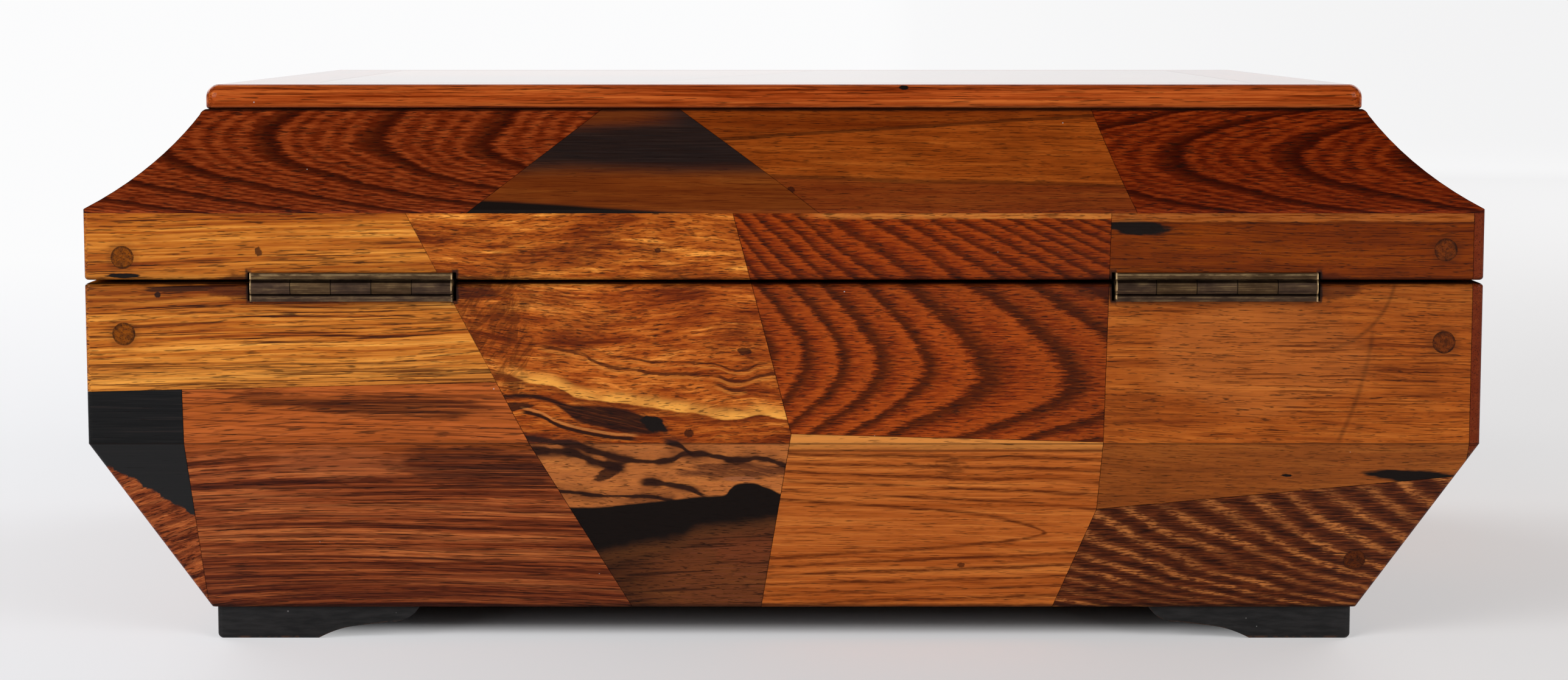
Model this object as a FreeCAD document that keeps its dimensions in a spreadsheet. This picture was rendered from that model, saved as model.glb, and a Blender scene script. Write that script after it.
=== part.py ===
import FreeCAD, Part
import math
import os
import Sketcher

# Lacquered box of glued wood blocks: canted walls, coved lid, rounded cap, bracket feet, brass hinges.
# Millimetres. +Z is up, the front faces -Y, the hinged rear faces +Y, the feet stand on Z = 0.

SIZES = (
    ("box_width", 352, "outside width across the upright walls"),
    ("box_depth", 280, "outside depth across the upright walls"),
    ("foot_height", 8.8, "height of the bracket feet"),
    ("cant_height", 46.7, "height of the inward-leaning lower wall"),
    ("cant_inset", 25.7, "how far the wall leans in at its foot"),
    ("wall_height", 40.6, "height of the upright body wall"),
    ("wall_land", 8.3, "flat width left at the foot of the wall"),
    ("lid_gap", 0.9, "gap between body and closed lid"),
    ("rim_height", 16.8, "height of the upright lid rim"),
    ("cove_height", 25.3, "height of the cove rails"),
    ("cove_inset", 26.2, "how far the cove draws in at the cap"),
    ("cove_radius", 75, "radius of the hollow"),
    ("cove_lip", 0.9, "upright strip at the foot of the cove"),
    ("cove_arris", 0.7, "width of the eased lower edge of the cove"),
    ("cove_nose", 1.4, "width and height of the rounded top of the cove"),
    ("cap_height", 6.3, "thickness of the cap"),
    ("cap_round", 3.3, "radius of the cap's upper edge"),
    ("cap_under_round", 0.8, "radius of the cap's lower edge"),
    ("cap_frame", 26, "width of the cap mouldings"),
    ("corner_round", 1.5, "radius of the upright corners"),
    ("seam_round", 0.8, "radius of the edges along the lid gap"),
    ("corner_lip", 2.8, "lip of one wall over the end of the next"),
    ("glue_line", 0.1, "thickness of a glue joint"),
    ("base_thickness", 9, "thickness of the base panel"),
    ("base_rabbet", 4, "how far the base reaches into the walls"),
    ("foot_inset", 1.2, "foot face behind the bottom edge"),
    ("foot_reach", 53.4, "length of a foot arm"),
    ("foot_pad", 26.4, "length of the flat foot sole"),
    ("foot_width", 16, "width of a foot arm"),
    ("foot_hollow_run", 10.5, "length of the hollow after the sole"),
    ("foot_hollow_rise", 3.5, "height of the hollow after the sole"),
    ("foot_hollow_radius", 26, "radius of the hollow after the sole"),
    ("foot_nose_run", 7.7, "length of the rounded arm end"),
    ("foot_nose_drop", 4.2, "height of the rounded arm end"),
    ("foot_nose_radius", 8, "radius of the rounded arm end"),
    ("foot_round", 1.4, "radius of the foot's outer edges"),
    ("foot_screw_inset", 10, "foot screw from both outer faces of the foot"),
    ("foot_screw_sink", 1.5, "foot screw head above the sole"),
    ("foot_screw_length", 13, "length of a foot screw"),
    ("dowel_radius", 2.8, "radius of the corner dowels"),
    ("dowel_length", 44, "length of the corner dowels"),
    ("dowel_clear", 0.02, "radial clearance of a dowel"),
    ("dowel_inset", 9.8, "dowel centre from the side of the box"),
    ("left_rim_dowel", 7.6, "left rim dowel above the rim's lower edge"),
    ("right_rim_dowel", 5.7, "right rim dowel above the rim's lower edge"),
    ("left_wall_dowel", 14.8, "left wall dowel below the body's upper edge"),
    ("right_wall_dowel", 12.7, "right wall dowel below the body's upper edge"),
    ("low_dowel_rise", 13.8, "low dowel above the wall's foot"),
    ("hinge_length", 50.8, "length of a hinge"),
    ("hinge_spread", 108.6, "hinge centre from the middle of the box"),
    ("hinge_stand", 0.3, "hinge axis outside the rear wall face"),
    ("hinge_drop", 1.2, "hinge axis below the middle of the lid seam"),
    ("mortise_end", 0.8, "free space at each end of a hinge"),
    ("mortise_back", 0.3, "free space behind a hinge leaf"),
    ("leaf_width", 18, "leaf from the hinge axis inward"),
    ("leaf_reach", 1.68, "leaf edge outside the hinge axis"),
    ("leaf_height", 3.6, "leaf's outer face from the hinge axis"),
    ("leaf_gap", 0.1, "gap between the closed leaves"),
    ("knuckle_radius", 2.45, "radius of the hinge knuckles"),
    ("knuckle_clear", 0.15, "gap round and between the knuckles"),
    ("web_depth", 1.6, "width of the web that carries a knuckle"),
    ("web_height", 2.2, "height of the web that carries a knuckle"),
    ("pin_radius", 1.2, "radius of the hinge pin"),
    ("pin_clear", 0.03, "radial clearance of the hinge pin"),
    ("screw_pitch", 17, "distance between the screws of a leaf"),
    ("screw_inset", 10.5, "leaf screw from the hinge axis"),
    ("screw_length", 11, "length of a leaf screw"),
    ("screw_head", 2.7, "radius of a screw head"),
    ("screw_head_depth", 1.6, "depth of a countersunk head"),
    ("screw_shank", 1.4, "radius of a screw shank"),
    ("screw_clear", 0.03, "clearance of a screw in its hole"),
    ("slot_width", 0.6, "width of a screw slot"),
    ("slot_depth", 0.7, "depth of a screw slot"),
    ("honey_foot_x", 72.6, "inner lower corner of the honey block from the middle"),
    ("honey_foot_z", 15.7, "inner lower corner of the honey block above the fold"),
    ("honey_lean", 27.7, "lean of the seam between honey and marbled, degrees"),
    ("ebony_width", 24.1, "ebony block from the side of the box"),
    ("ebony_top", 13.8, "top of the ebony block above the fold"),
    ("ebony_lean", 1, "lean of the ebony block's inner seam, degrees"),
    ("ebony_tilt", 1.4, "fall of the ebony block's upper seam, degrees"),
    ("russet_foot_x", 1.8, "inner lower corner of the russet block past the middle"),
    ("russet_foot_z", 2.5, "inner lower corner of the russet block above the fold"),
    ("russet_lean", 14.7, "lean of the seam between marbled and russet, degrees"),
    ("amber_lean", 9, "lean of the seam between marbled and amber, degrees"),
    ("russet_side_z", 0.4, "outer lower corner of the russet block above the fold"),
    ("walnut_foot_x", 80.2, "inner lower corner of the walnut block past the middle"),
    ("walnut_foot_z", 18.3, "inner lower corner of the walnut block below the fold"),
    ("walnut_lean", 1.5, "lean of the seam between russet and walnut, degrees"),
    ("walnut_tilt", 5.8, "rise of the seam between walnut and striped, degrees"),
    ("striped_lean", 19, "lean of the seam between amber and striped, degrees"),
    ("cove_left_foot", 79.7, "foot of the rear cove's first seam from the middle"),
    ("cove_left_head", 46.9, "head of the rear cove's first seam from the middle"),
    ("cove_mid_foot", 9, "foot of the rear cove's second seam past the middle"),
    ("cove_mid_head", 27, "head of the rear cove's second seam from the middle"),
    ("cove_right_foot", 88.6, "foot of the rear cove's third seam past the middle"),
    ("cove_right_head", 79.3, "head of the rear cove's third seam past the middle"),
    ("front_seam_x", 62, "front wall's long seam left of the middle"),
    ("front_seam_lean", 16, "lean of the front wall's long seam, degrees"),
    ("front_left_z", 6, "front left cross seam above the fold"),
    ("front_left_tilt", 4, "slope of the front left cross seam, degrees"),
    ("front_right_z", 8, "front right cross seam below the fold"),
    ("front_right_tilt", 3, "slope of the front right cross seam, degrees"),
    ("front_low_x", 58, "front lower seam right of the middle"),
    ("front_low_lean", 18, "lean of the front lower seam, degrees"),
    ("front_cove_foot", 12, "foot of the front cove's seam left of the middle"),
    ("front_cove_head", 21, "head of the front cove's seam right of the middle"),
    ("left_seam_y", 20, "left wall's long seam behind the middle"),
    ("left_seam_lean", 20, "lean of the left wall's long seam, degrees"),
    ("left_cross_z", 10, "left wall's cross seam above the fold"),
    ("left_cross_tilt", 5, "slope of the left wall's cross seam, degrees"),
    ("right_seam_y", 15, "right wall's long seam in front of the middle"),
    ("right_seam_lean", 14, "lean of the right wall's long seam, degrees"),
    ("right_cross_z", 6, "right wall's cross seam below the fold"),
    ("right_cross_tilt", 6, "slope of the right wall's cross seam, degrees"),
    ("top_seam_x", 14, "top panel's long seam right of the middle"),
    ("top_seam_lean", 15, "lean of the top panel's long seam, degrees"),
    ("top_right_y", 3, "top panel's right cross seam in front of the middle"),
    ("top_left_y", 34, "top panel's left cross seam behind the middle"),
)

doc = FreeCAD.newDocument("PatchworkBox")
sheet = doc.addObject("Spreadsheet::Sheet", "Size")
for row, (alias, value, note) in enumerate(SIZES, start=1):
    sheet.set(f"A{row}", alias)
    sheet.set(f"B{row}", str(value))
    sheet.setAlias(f"B{row}", alias)
    sheet.set(f"C{row}", note)
doc.recompute()

# Shared levels and half sizes, written as expressions on the sheet.
HALF_X = "(Size.box_width / 2)"
HALF_Y = "(Size.box_depth / 2)"
THICK = "(Size.cant_inset + Size.wall_land)"
Z_FOOT = "Size.foot_height"
Z_FOLD = "(Size.foot_height + Size.cant_height)"
Z_BODY = f"({Z_FOLD} + Size.wall_height)"
Z_LID = f"({Z_BODY} + Size.lid_gap)"
Z_RIM = f"({Z_LID} + Size.rim_height)"
Z_CAP = f"({Z_RIM} + Size.cove_height)"
Z_AXIS = f"({Z_BODY} + Size.lid_gap / 2 - Size.hinge_drop)"
Y_AXIS = f"({HALF_Y} + Size.hinge_stand)"
BEYOND = "20"
OUT_X = f"({HALF_X} + {BEYOND})"
OUT_Y = f"({HALF_Y} + {BEYOND})"
Z_BELOW = "0"
THROUGH = "2 * (Size.box_width + Size.box_depth)"
GLUE = "Size.glue_line"
GLUE_HALF = "(Size.glue_line / 2)"

TURNS = {
    "plan": FreeCAD.Rotation(),
    "elevation": FreeCAD.Rotation(FreeCAD.Vector(1, 0, 0), 90),
    "side": FreeCAD.Rotation(0.5, 0.5, 0.5, 0.5),
}
ORIGIN_PLANES = {"plan": "XY_Plane", "elevation": "XZ_Plane", "side": "YZ_Plane"}
ALONG_X = FreeCAD.Rotation(FreeCAD.Vector(0, 1, 0), 90)
INTO_REAR = FreeCAD.Rotation(FreeCAD.Vector(1, 0, 0), 90)
INTO_FRONT = FreeCAD.Rotation(FreeCAD.Vector(1, 0, 0), -90)
UPWARD = FreeCAD.Rotation()
DOWNWARD = FreeCAD.Rotation(FreeCAD.Vector(1, 0, 0), 180)

nodes = {}


def number(expression):
    """Present value of an expression on the sheet."""
    return float(sheet.evalExpression(str(expression)))


def tie(item, **bindings):
    """Bind properties to expressions; a double underscore stands for a dot."""
    for prop, expression in bindings.items():
        item.setExpression(prop.replace("__", "."), str(expression))
    return item


def place(item, x, y, z, turn=UPWARD):
    """Put an object at a point given by expressions."""
    item.Placement = FreeCAD.Placement(FreeCAD.Vector(), turn)
    return tie(item, Placement__Base__x=x, Placement__Base__y=y, Placement__Base__z=z)


def arc_between(start, end, radius, turn):
    """Arc from start to end; turn 1 runs anticlockwise, -1 clockwise."""
    chord = end - start
    rise = math.sqrt(max(radius ** 2 - (chord.Length / 2) ** 2, 0))
    left = FreeCAD.Vector(-chord.y, chord.x, 0).normalize()
    centre = (start + end) * 0.5 + left * (rise * turn)
    angles = [math.atan2(p.y - centre.y, p.x - centre.x) for p in (start, end)]
    if turn < 0:
        angles.reverse()
    return Part.ArcOfCircle(Part.Circle(centre, FreeCAD.Vector(0, 0, 1), radius), *angles)


def outline(name, corners, plane, arcs=None, body=None):
    """Closed sketch through corners given as pairs of expressions; arcs maps an edge to radius, turn."""
    arcs = arcs or {}
    if body:
        sketch = body.newObject("Sketcher::SketchObject", name)
        role = ORIGIN_PLANES[plane]
        base = next(item for item in body.Origin.OriginFeatures if item.Role == role)
        sketch.AttachmentSupport = (base, [""])
        sketch.MapMode = "FlatFace"
    else:
        sketch = doc.addObject("Sketcher::SketchObject", name)
        sketch.Placement = FreeCAD.Placement(FreeCAD.Vector(), TURNS[plane])
    points = [FreeCAD.Vector(number(u), number(v), 0) for u, v in corners]
    count = len(points)
    ends = []
    for edge in range(count):
        start, end = points[edge], points[(edge + 1) % count]
        if edge in arcs:
            radius, turn = arcs[edge]
            sketch.addGeometry(arc_between(start, end, number(radius), turn))
            ends.append((1, 2) if turn > 0 else (2, 1))
        else:
            sketch.addGeometry(Part.LineSegment(start, end))
            ends.append((1, 2))
    for edge in range(count):
        following = (edge + 1) % count
        joint = (edge, ends[edge][1], following, ends[following][0])
        sketch.addConstraint(Sketcher.Constraint("Coincident", *joint))
    for edge, (across, upward) in enumerate(corners):
        for kind, expression in (("DistanceX", across), ("DistanceY", upward)):
            spot = (-1, 1, edge, ends[edge][0], number(expression))
            index = sketch.addConstraint(Sketcher.Constraint(kind, *spot))
            sketch.setExpression(f"Constraints[{index}]", expression)
    for edge, (radius, turn) in arcs.items():
        index = sketch.addConstraint(Sketcher.Constraint("Radius", edge, number(radius)))
        sketch.setExpression(f"Constraints[{index}]", radius)
    return sketch


def prism(name, corners, plane, arcs=None):
    """Outline run right through the box, square to its plane."""
    solid = doc.addObject("Part::Extrusion", name)
    solid.Base = outline(name + "_outline", corners, plane, arcs)
    solid.DirMode = "Normal"
    solid.Solid = True
    solid.Symmetric = True
    return tie(solid, LengthFwd=THROUGH)


def cuboid(name, low, high):
    """Box between two corners."""
    solid = doc.addObject("Part::Box", name)
    tie(solid, Length=f"({high[0]}) - ({low[0]})", Width=f"({high[1]}) - ({low[1]})")
    tie(solid, Height=f"({high[2]}) - ({low[2]})")
    return place(solid, *low)


def rod(name, radius, length, spot, turn):
    """Cylinder from a point, turned from +Z."""
    solid = tie(doc.addObject("Part::Cylinder", name), Radius=radius, Height=length)
    return place(solid, *spot, turn)


def joined(name, items):
    """Union of several solids."""
    solid = doc.addObject("Part::MultiFuse", name)
    solid.Shapes = items
    return solid


def without(name, base, tool):
    """Solid with a tool taken away."""
    solid = doc.addObject("Part::Cut", name)
    solid.Base = base
    solid.Tool = tool
    return solid


def within(name, base, tool):
    """What two solids share."""
    solid = doc.addObject("Part::Common", name)
    solid.Base = base
    solid.Tool = tool
    return solid


def group(name, items):
    """Several separate solids under one name."""
    solid = doc.addObject("Part::Compound", name)
    solid.Links = items
    return solid


def keep(item):
    """Mark an object as a finished piece under its own name."""
    item.Label = item.Name
    nodes[item.Name] = item
    return item


def rounded_rectangle(half_x, half_y, radius):
    """Corners and arcs of a rectangle with rounded corners, anticlockwise."""
    in_x = f"({half_x} - {radius})"
    in_y = f"({half_y} - {radius})"
    corners = [
        (f"-{in_x}", f"-{half_y}"), (in_x, f"-{half_y}"),
        (half_x, f"-{in_y}"), (half_x, in_y),
        (in_x, half_y), (f"-{in_x}", half_y),
        (f"-{half_x}", in_y), (f"-{half_x}", f"-{in_y}"),
    ]
    return corners, {edge: (radius, 1) for edge in (1, 3, 5, 7)}


def section(body, name, half_x, half_y, radius, level):
    """Rounded rectangle at a level of a body."""
    corners, arcs = rounded_rectangle(half_x, half_y, radius)
    sketch = outline(name, corners, "plan", arcs, body)
    return tie(sketch, AttachmentOffset__Base__z=level)


def round_rim(body, solid, name, level, radius):
    """Round every edge of a body's feature that lies at one level."""
    doc.recompute()
    height = number(level)
    edges = []
    for index, edge in enumerate(solid.Shape.Edges, start=1):
        box = edge.BoundBox
        if abs(box.ZMin - height) < 1e-4 and abs(box.ZMax - height) < 1e-4:
            edges.append(f"Edge{index}")
    rounding = body.newObject("PartDesign::Fillet", name)
    rounding.Base = (solid, edges)
    return tie(rounding, Radius=radius)


def slab(name, half_x, half_y, radius, low, height):
    """Body of a flat slab with rounded corners."""
    body = doc.addObject("PartDesign::Body", name)
    sketch = section(body, name + "_plan", half_x, half_y, radius, low)
    pad = body.newObject("PartDesign::Pad", name + "_pad")
    pad.Profile = sketch
    tie(pad, Length=height)
    return body, pad


# Outer forms of the body, the lid rim, the cove ring and the cap.
foot_x = f"({HALF_X} - Size.cant_inset)"
foot_y = f"({HALF_Y} - Size.cant_inset)"


def cant_corners(half, foot):
    """Cross-section of the inward-leaning lower wall."""
    return [(f"-{foot}", Z_FOOT), (foot, Z_FOOT), (half, Z_FOLD), (f"-{half}", Z_FOLD)]


cant_form = within(
    "cant_form",
    prism("cant_across", cant_corners(HALF_X, foot_x), "elevation"),
    prism("cant_along", cant_corners(HALF_Y, foot_y), "side"),
)
doc.recompute()
cant_rounding = doc.addObject("Part::Fillet", "cant_rounding")
cant_rounding.Base = cant_form
radius = number("Size.corner_round")
cant_rounding.Edges = [
    (index, radius, radius)
    for index, edge in enumerate(cant_form.Shape.Edges, start=1)
    if edge.BoundBox.ZLength > 1
]
wall_form, wall_pad = slab(
    "wall_form", HALF_X, HALF_Y, "Size.corner_round", Z_FOLD, "Size.wall_height"
)
round_rim(wall_form, wall_pad, "wall_rounding", Z_BODY, "Size.seam_round")
body_form = joined("body_form", [wall_form, cant_rounding])

rim_form, rim_pad = slab("rim_form", HALF_X, HALF_Y, "Size.corner_round", Z_LID, "Size.rim_height")
round_rim(rim_form, rim_pad, "rim_rounding", Z_LID, "Size.seam_round")

cap_x = f"({HALF_X} - Size.cove_inset)"
cap_y = f"({HALF_Y} - Size.cove_inset)"
cap_form, cap_pad = slab("cap_form", cap_x, cap_y, "Size.cap_round", Z_CAP, "Size.cap_height")
cap_under = round_rim(cap_form, cap_pad, "cap_under_rounding", Z_CAP, "Size.cap_under_round")
cap_level = f"{Z_CAP} + Size.cap_height"
round_rim(cap_form, cap_under, "cap_rounding", cap_level, "Size.cap_round")


def cove_corners(half):
    """Cross-section of the cove ring, with its hollow edges and rounded tops."""
    lip = f"({Z_RIM} + Size.cove_lip)"
    easing = f"({lip} + Size.cove_arris * 0.6)"
    nose = f"({Z_CAP} - Size.cove_nose)"
    neck = f"({half} - Size.cove_inset + Size.cove_nose * 0.7)"
    top = f"({half} - Size.cove_inset - Size.cove_nose * 0.3)"
    edge = f"({half} - Size.cove_arris)"
    right = [(half, Z_RIM), (half, lip), (edge, easing), (neck, nose), (top, Z_CAP)]
    left = [(f"-{across}", level) for across, level in reversed(right)]
    arcs = {
        2: ("Size.cove_radius", -1),
        3: ("Size.cove_nose * 1.5", 1),
        5: ("Size.cove_nose * 1.5", 1),
        6: ("Size.cove_radius", -1),
    }
    return right + left, arcs


cove_across, cove_arcs = cove_corners(HALF_X)
cove_along, cove_arcs = cove_corners(HALF_Y)
cove_cross = within(
    "cove_cross",
    prism("cove_across", cove_across, "elevation", cove_arcs),
    prism("cove_along", cove_along, "side", cove_arcs),
)
plan_corners, plan_arcs = rounded_rectangle(HALF_X, HALF_Y, "Size.corner_round")
cove_form = within("cove_form", cove_cross, prism("cove_plan", plan_corners, "plan", plan_arcs))

# Space inside, and the rabbet for the base panel.
cavity = cuboid(
    "cavity",
    (f"{THICK} - {HALF_X}", f"{THICK} - {HALF_Y}", Z_BELOW),
    (f"{HALF_X} - {THICK}", f"{HALF_Y} - {THICK}", Z_CAP),
)
base_x = f"({HALF_X} - {THICK} + Size.base_rabbet)"
base_y = f"({HALF_Y} - {THICK} + Size.base_rabbet)"
base_top = f"({Z_FOOT} + Size.base_thickness)"
rabbet = cuboid("rabbet", (f"-{base_x}", f"-{base_y}", Z_BELOW), (base_x, base_y, base_top))


def screw_form(name, spot, turn, length, grow=""):
    """Countersunk head and shank; grow widens it into its hole."""
    x, y, z = spot
    step = "-" if turn == DOWNWARD else "+"
    head = doc.addObject("Part::Cone", name + "_head")
    tie(head, Radius1=f"Size.screw_head{grow}", Radius2=f"Size.screw_shank{grow}")
    place(tie(head, Height="Size.screw_head_depth"), x, y, z, turn)
    neck = f"{z} {step} Size.screw_head_depth"
    reach = f"{length} - Size.screw_head_depth{grow}"
    shank = rod(name + "_shank", f"Size.screw_shank{grow}", reach, (x, y, neck), turn)
    return joined(name + "_form", [head, shank])


def screw(name, spot, turn, length):
    """Slotted countersunk screw and the hole it sits in."""
    x, y, z = spot
    slot_low = f"{z} - Size.slot_depth" if turn == DOWNWARD else z
    slot = cuboid(
        name + "_slot",
        (f"{x} - 2 * Size.screw_head", f"{y} - Size.slot_width / 2", slot_low),
        (f"{x} + 2 * Size.screw_head", f"{y} + Size.slot_width / 2", f"{slot_low} + Size.slot_depth"),
    )
    solid = without(name, screw_form(name, spot, turn, length), slot)
    hole = screw_form(name + "_hole", spot, turn, length, " + Size.screw_clear")
    return solid, hole


# Hinges: two leaves with interlocking knuckles on one pin, let into the rim and the wall.
lid_screws = []
body_screws = []
lid_holes = []
body_holes = []
pins = []
groove_radius = "(Size.knuckle_radius + Size.knuckle_clear)"
knuckle_step = "(Size.hinge_length / 5)"


def leaf(name, middle, sign, places, holes):
    """Hinge leaf on one side of the axis with knuckles at the given places."""
    near = f"{Z_AXIS} {sign} Size.leaf_gap / 2"
    far = f"{Z_AXIS} {sign} Size.leaf_height"
    web = f"{near} {sign} Size.web_height"
    first = f"({middle} - Size.hinge_length / 2)"
    last = f"({middle} + Size.hinge_length / 2)"
    plate_low, plate_high = (near, far) if sign == "+" else (far, near)
    web_low, web_high = (near, web) if sign == "+" else (web, near)
    plate = cuboid(
        name + "_plate",
        (first, f"{Y_AXIS} - Size.leaf_width", plate_low),
        (last, f"{Y_AXIS} + Size.leaf_reach", plate_high),
    )
    start = f"{middle} - Size.hinge_length"
    groove = rod(
        name + "_groove", groove_radius, "2 * Size.hinge_length", (start, Y_AXIS, Z_AXIS), ALONG_X
    )
    solids = [without(name + "_channel", plate, groove)]
    for number_of in places:
        begin = f"({first} + {number_of} * {knuckle_step} + Size.knuckle_clear / 2)"
        span = f"({knuckle_step} - Size.knuckle_clear)"
        label = f"{name}_{number_of}"
        spot = (begin, Y_AXIS, Z_AXIS)
        solids.append(rod(label + "_knuckle", "Size.knuckle_radius", span, spot, ALONG_X))
        solids.append(cuboid(
            label + "_web",
            (begin, f"{Y_AXIS} - {groove_radius} - 0.3", web_low),
            (f"{begin} + {span}", f"{Y_AXIS} - {groove_radius} + Size.web_depth", web_high),
        ))
    bore = rod(
        name + "_bore", "Size.pin_radius + Size.pin_clear", "2 * Size.hinge_length",
        (start, Y_AXIS, Z_AXIS), ALONG_X,
    )
    return keep(without(name, joined(name + "_blank", solids), joined(name + "_bores", [bore] + holes)))


mortises = []
for side, middle in (("left", "(0 - Size.hinge_spread)"), ("right", "Size.hinge_spread")):
    lid_side_holes = []
    body_side_holes = []
    for index in (-1, 0, 1):
        x = f"({middle} + {index} * Size.screw_pitch)"
        y = f"({Y_AXIS} - Size.screw_inset)"
        upper = (x, y, f"({Z_AXIS} + Size.leaf_gap / 2)")
        lower = (x, y, f"({Z_AXIS} - Size.leaf_gap / 2)")
        label = f"{side}_{index + 2}"
        solid, hole = screw(f"lid_screw_{label}", upper, UPWARD, "Size.screw_length")
        lid_screws.append(solid)
        lid_side_holes.append(hole)
        solid, hole = screw(f"body_screw_{label}", lower, DOWNWARD, "Size.screw_length")
        body_screws.append(solid)
        body_side_holes.append(hole)
    leaf(f"hinge_{side}_lid_leaf", middle, "+", (1, 3), lid_side_holes)
    leaf(f"hinge_{side}_body_leaf", middle, "-", (0, 2, 4), body_side_holes)
    lid_holes += lid_side_holes
    body_holes += body_side_holes
    start = (f"{middle} - Size.hinge_length / 2", Y_AXIS, Z_AXIS)
    pins.append(rod(f"{side}_pin", "Size.pin_radius", "Size.hinge_length", start, ALONG_X))
    half_slot = "(Size.hinge_length / 2 + Size.mortise_end)"
    back = f"{Y_AXIS} - Size.leaf_width - Size.mortise_back"
    mortises.append(cuboid(
        f"{side}_mortise",
        (f"{middle} - {half_slot}", back, f"{Z_AXIS} - Size.leaf_height"),
        (f"{middle} + {half_slot}", OUT_Y, f"{Z_AXIS} + Size.leaf_height"),
    ))
keep(group("hinge_pins", pins))
keep(group("lid_hinge_screws", lid_screws))
keep(group("body_hinge_screws", body_screws))

# Corner dowels, driven from the rear and from the front and cut off flush.
low_inset = "(Size.cant_inset * (1 - Size.low_dowel_rise / Size.cant_height) + Size.dowel_inset)"
dowel_x = f"({HALF_X} - Size.dowel_inset)"
low_x = f"({HALF_X} - {low_inset})"
low_dowel_z = f"({Z_FOOT} + Size.low_dowel_rise)"
rim_dowels = []
body_dowels = []
rim_dowel_holes = []
body_dowel_holes = []


def dowel(name, x, z, face, form, dowels, holes):
    """Dowel cut flush with a form, and its hole."""
    turn = INTO_REAR if face == "rear" else INTO_FRONT
    y = f"{HALF_Y}" if face == "rear" else f"-{HALF_Y}"
    peg = rod(name + "_peg", "Size.dowel_radius", "Size.dowel_length", (x, y, z), turn)
    dowels.append(within(name, peg, form))
    bore = "Size.dowel_radius + Size.dowel_clear"
    depth = "Size.dowel_length + Size.dowel_clear"
    holes.append(rod(name + "_hole", bore, depth, (x, y, z), turn))


for face in ("rear", "front"):
    for end, sign in (("left", "-"), ("right", "")):
        x = f"{sign}{dowel_x}"
        rim_z = f"({Z_LID} + Size.{end}_rim_dowel)"
        wall_z = f"({Z_BODY} - Size.{end}_wall_dowel)"
        dowel(f"rim_{face}_{end}", x, rim_z, face, rim_form, rim_dowels, rim_dowel_holes)
        dowel(f"wall_{face}_{end}", x, wall_z, face, body_form, body_dowels, body_dowel_holes)
    low = f"-{low_x}"
    dowel(f"low_{face}_left", low, low_dowel_z, face, body_form, body_dowels, body_dowel_holes)
keep(group("lid_dowels", rim_dowels))
keep(group("body_dowels", body_dowels))

# Rings hollowed out, with every hole and mortise in them.
body_cuts = joined("body_cuts", [cavity, rabbet] + mortises + body_holes + body_dowel_holes)
rim_cuts = joined("rim_cuts", [cavity] + mortises + lid_holes + rim_dowel_holes)
body_ring = without("body_ring", body_form, body_cuts)
rim_ring = without("rim_ring", rim_form, rim_cuts)
cove_ring = without("cove_ring", cove_form, cavity)


def turned(corners):
    """The same plan at the opposite wall."""
    return [(f"-({x})", f"-({y})") for x, y in corners]


def mirrored(corners):
    """The same plan on the other side of the front-to-back middle."""
    return [(x, f"-({y})") for x, y in corners]


# Rear and front walls run past the right wall's ends and sit behind the left wall's lips.
behind_lip = f"Size.corner_lip + {GLUE} - {HALF_X}"
inner_x = f"({HALF_X} - {THICK})"
inner_y = f"({HALF_Y} - {THICK})"
side_end = f"({inner_y} - {GLUE})"
lip_x = f"Size.corner_lip - {HALF_X}"
rear_plan = [(behind_lip, inner_y), (OUT_X, inner_y), (OUT_X, OUT_Y), (behind_lip, OUT_Y)]
right_plan = [(inner_x, f"-{side_end}"), (OUT_X, f"-{side_end}"), (OUT_X, side_end), (inner_x, side_end)]
left_rear_half = [(f"-{inner_x}", side_end), (lip_x, side_end), (lip_x, OUT_Y), (f"-{OUT_X}", OUT_Y)]
wall_plans = {
    "rear": rear_plan,
    "front": mirrored(rear_plan),
    "left": left_rear_half + mirrored(left_rear_half)[::-1],
    "right": right_plan,
}


def mitred(side, depth):
    """Plan of one rail of a mitred frame, from outside the box to a depth inside it."""
    in_x = f"({HALF_X} - {depth})"
    in_y = f"({HALF_Y} - {depth})"
    if side in ("rear", "front"):
        rail = [
            (f"{GLUE} - {OUT_X}", OUT_Y), (f"{OUT_X} - {GLUE}", OUT_Y),
            (f"{in_x} - {GLUE}", in_y), (f"{GLUE} - {in_x}", in_y),
        ]
        return rail if side == "rear" else turned(rail)
    rail = [
        (f"-{OUT_X}", OUT_Y), (f"-{in_x}", in_y),
        (f"-{in_x}", f"-{in_y}"), (f"-{OUT_X}", f"-{OUT_Y}"),
    ]
    return rail if side == "left" else turned(rail)


body_walls = {}
rim_walls = {}
cove_rails = {}
for side, corners in wall_plans.items():
    plan = prism(f"{side}_wall_plan", corners, "plan")
    body_walls[side] = within(f"{side}_body_wall", body_ring, plan)
    rim_walls[side] = within(f"{side}_rim_wall", rim_ring, plan)
    rail = prism(f"{side}_rail_plan", mitred(side, f"({THICK} + 1)"), "plan")
    name = f"{side}_cove_rail"
    cove_rails[side] = within(name, cove_ring, rail)
    moulding = prism(f"{side}_cap_plan", mitred(side, "(Size.cove_inset + Size.cap_frame)"), "plan")
    keep(within(f"{side}_cap_moulding", cap_form, moulding))
keep(cove_rails["left"])
keep(cove_rails["right"])


def spot(across, upward, shift=0, lift=0):
    """Corner of a block, drawn back from the seam by half a glue line."""
    return f"{across} + {shift} * {GLUE_HALF}", f"{upward} + {lift} * {GLUE_HALF}"


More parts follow.
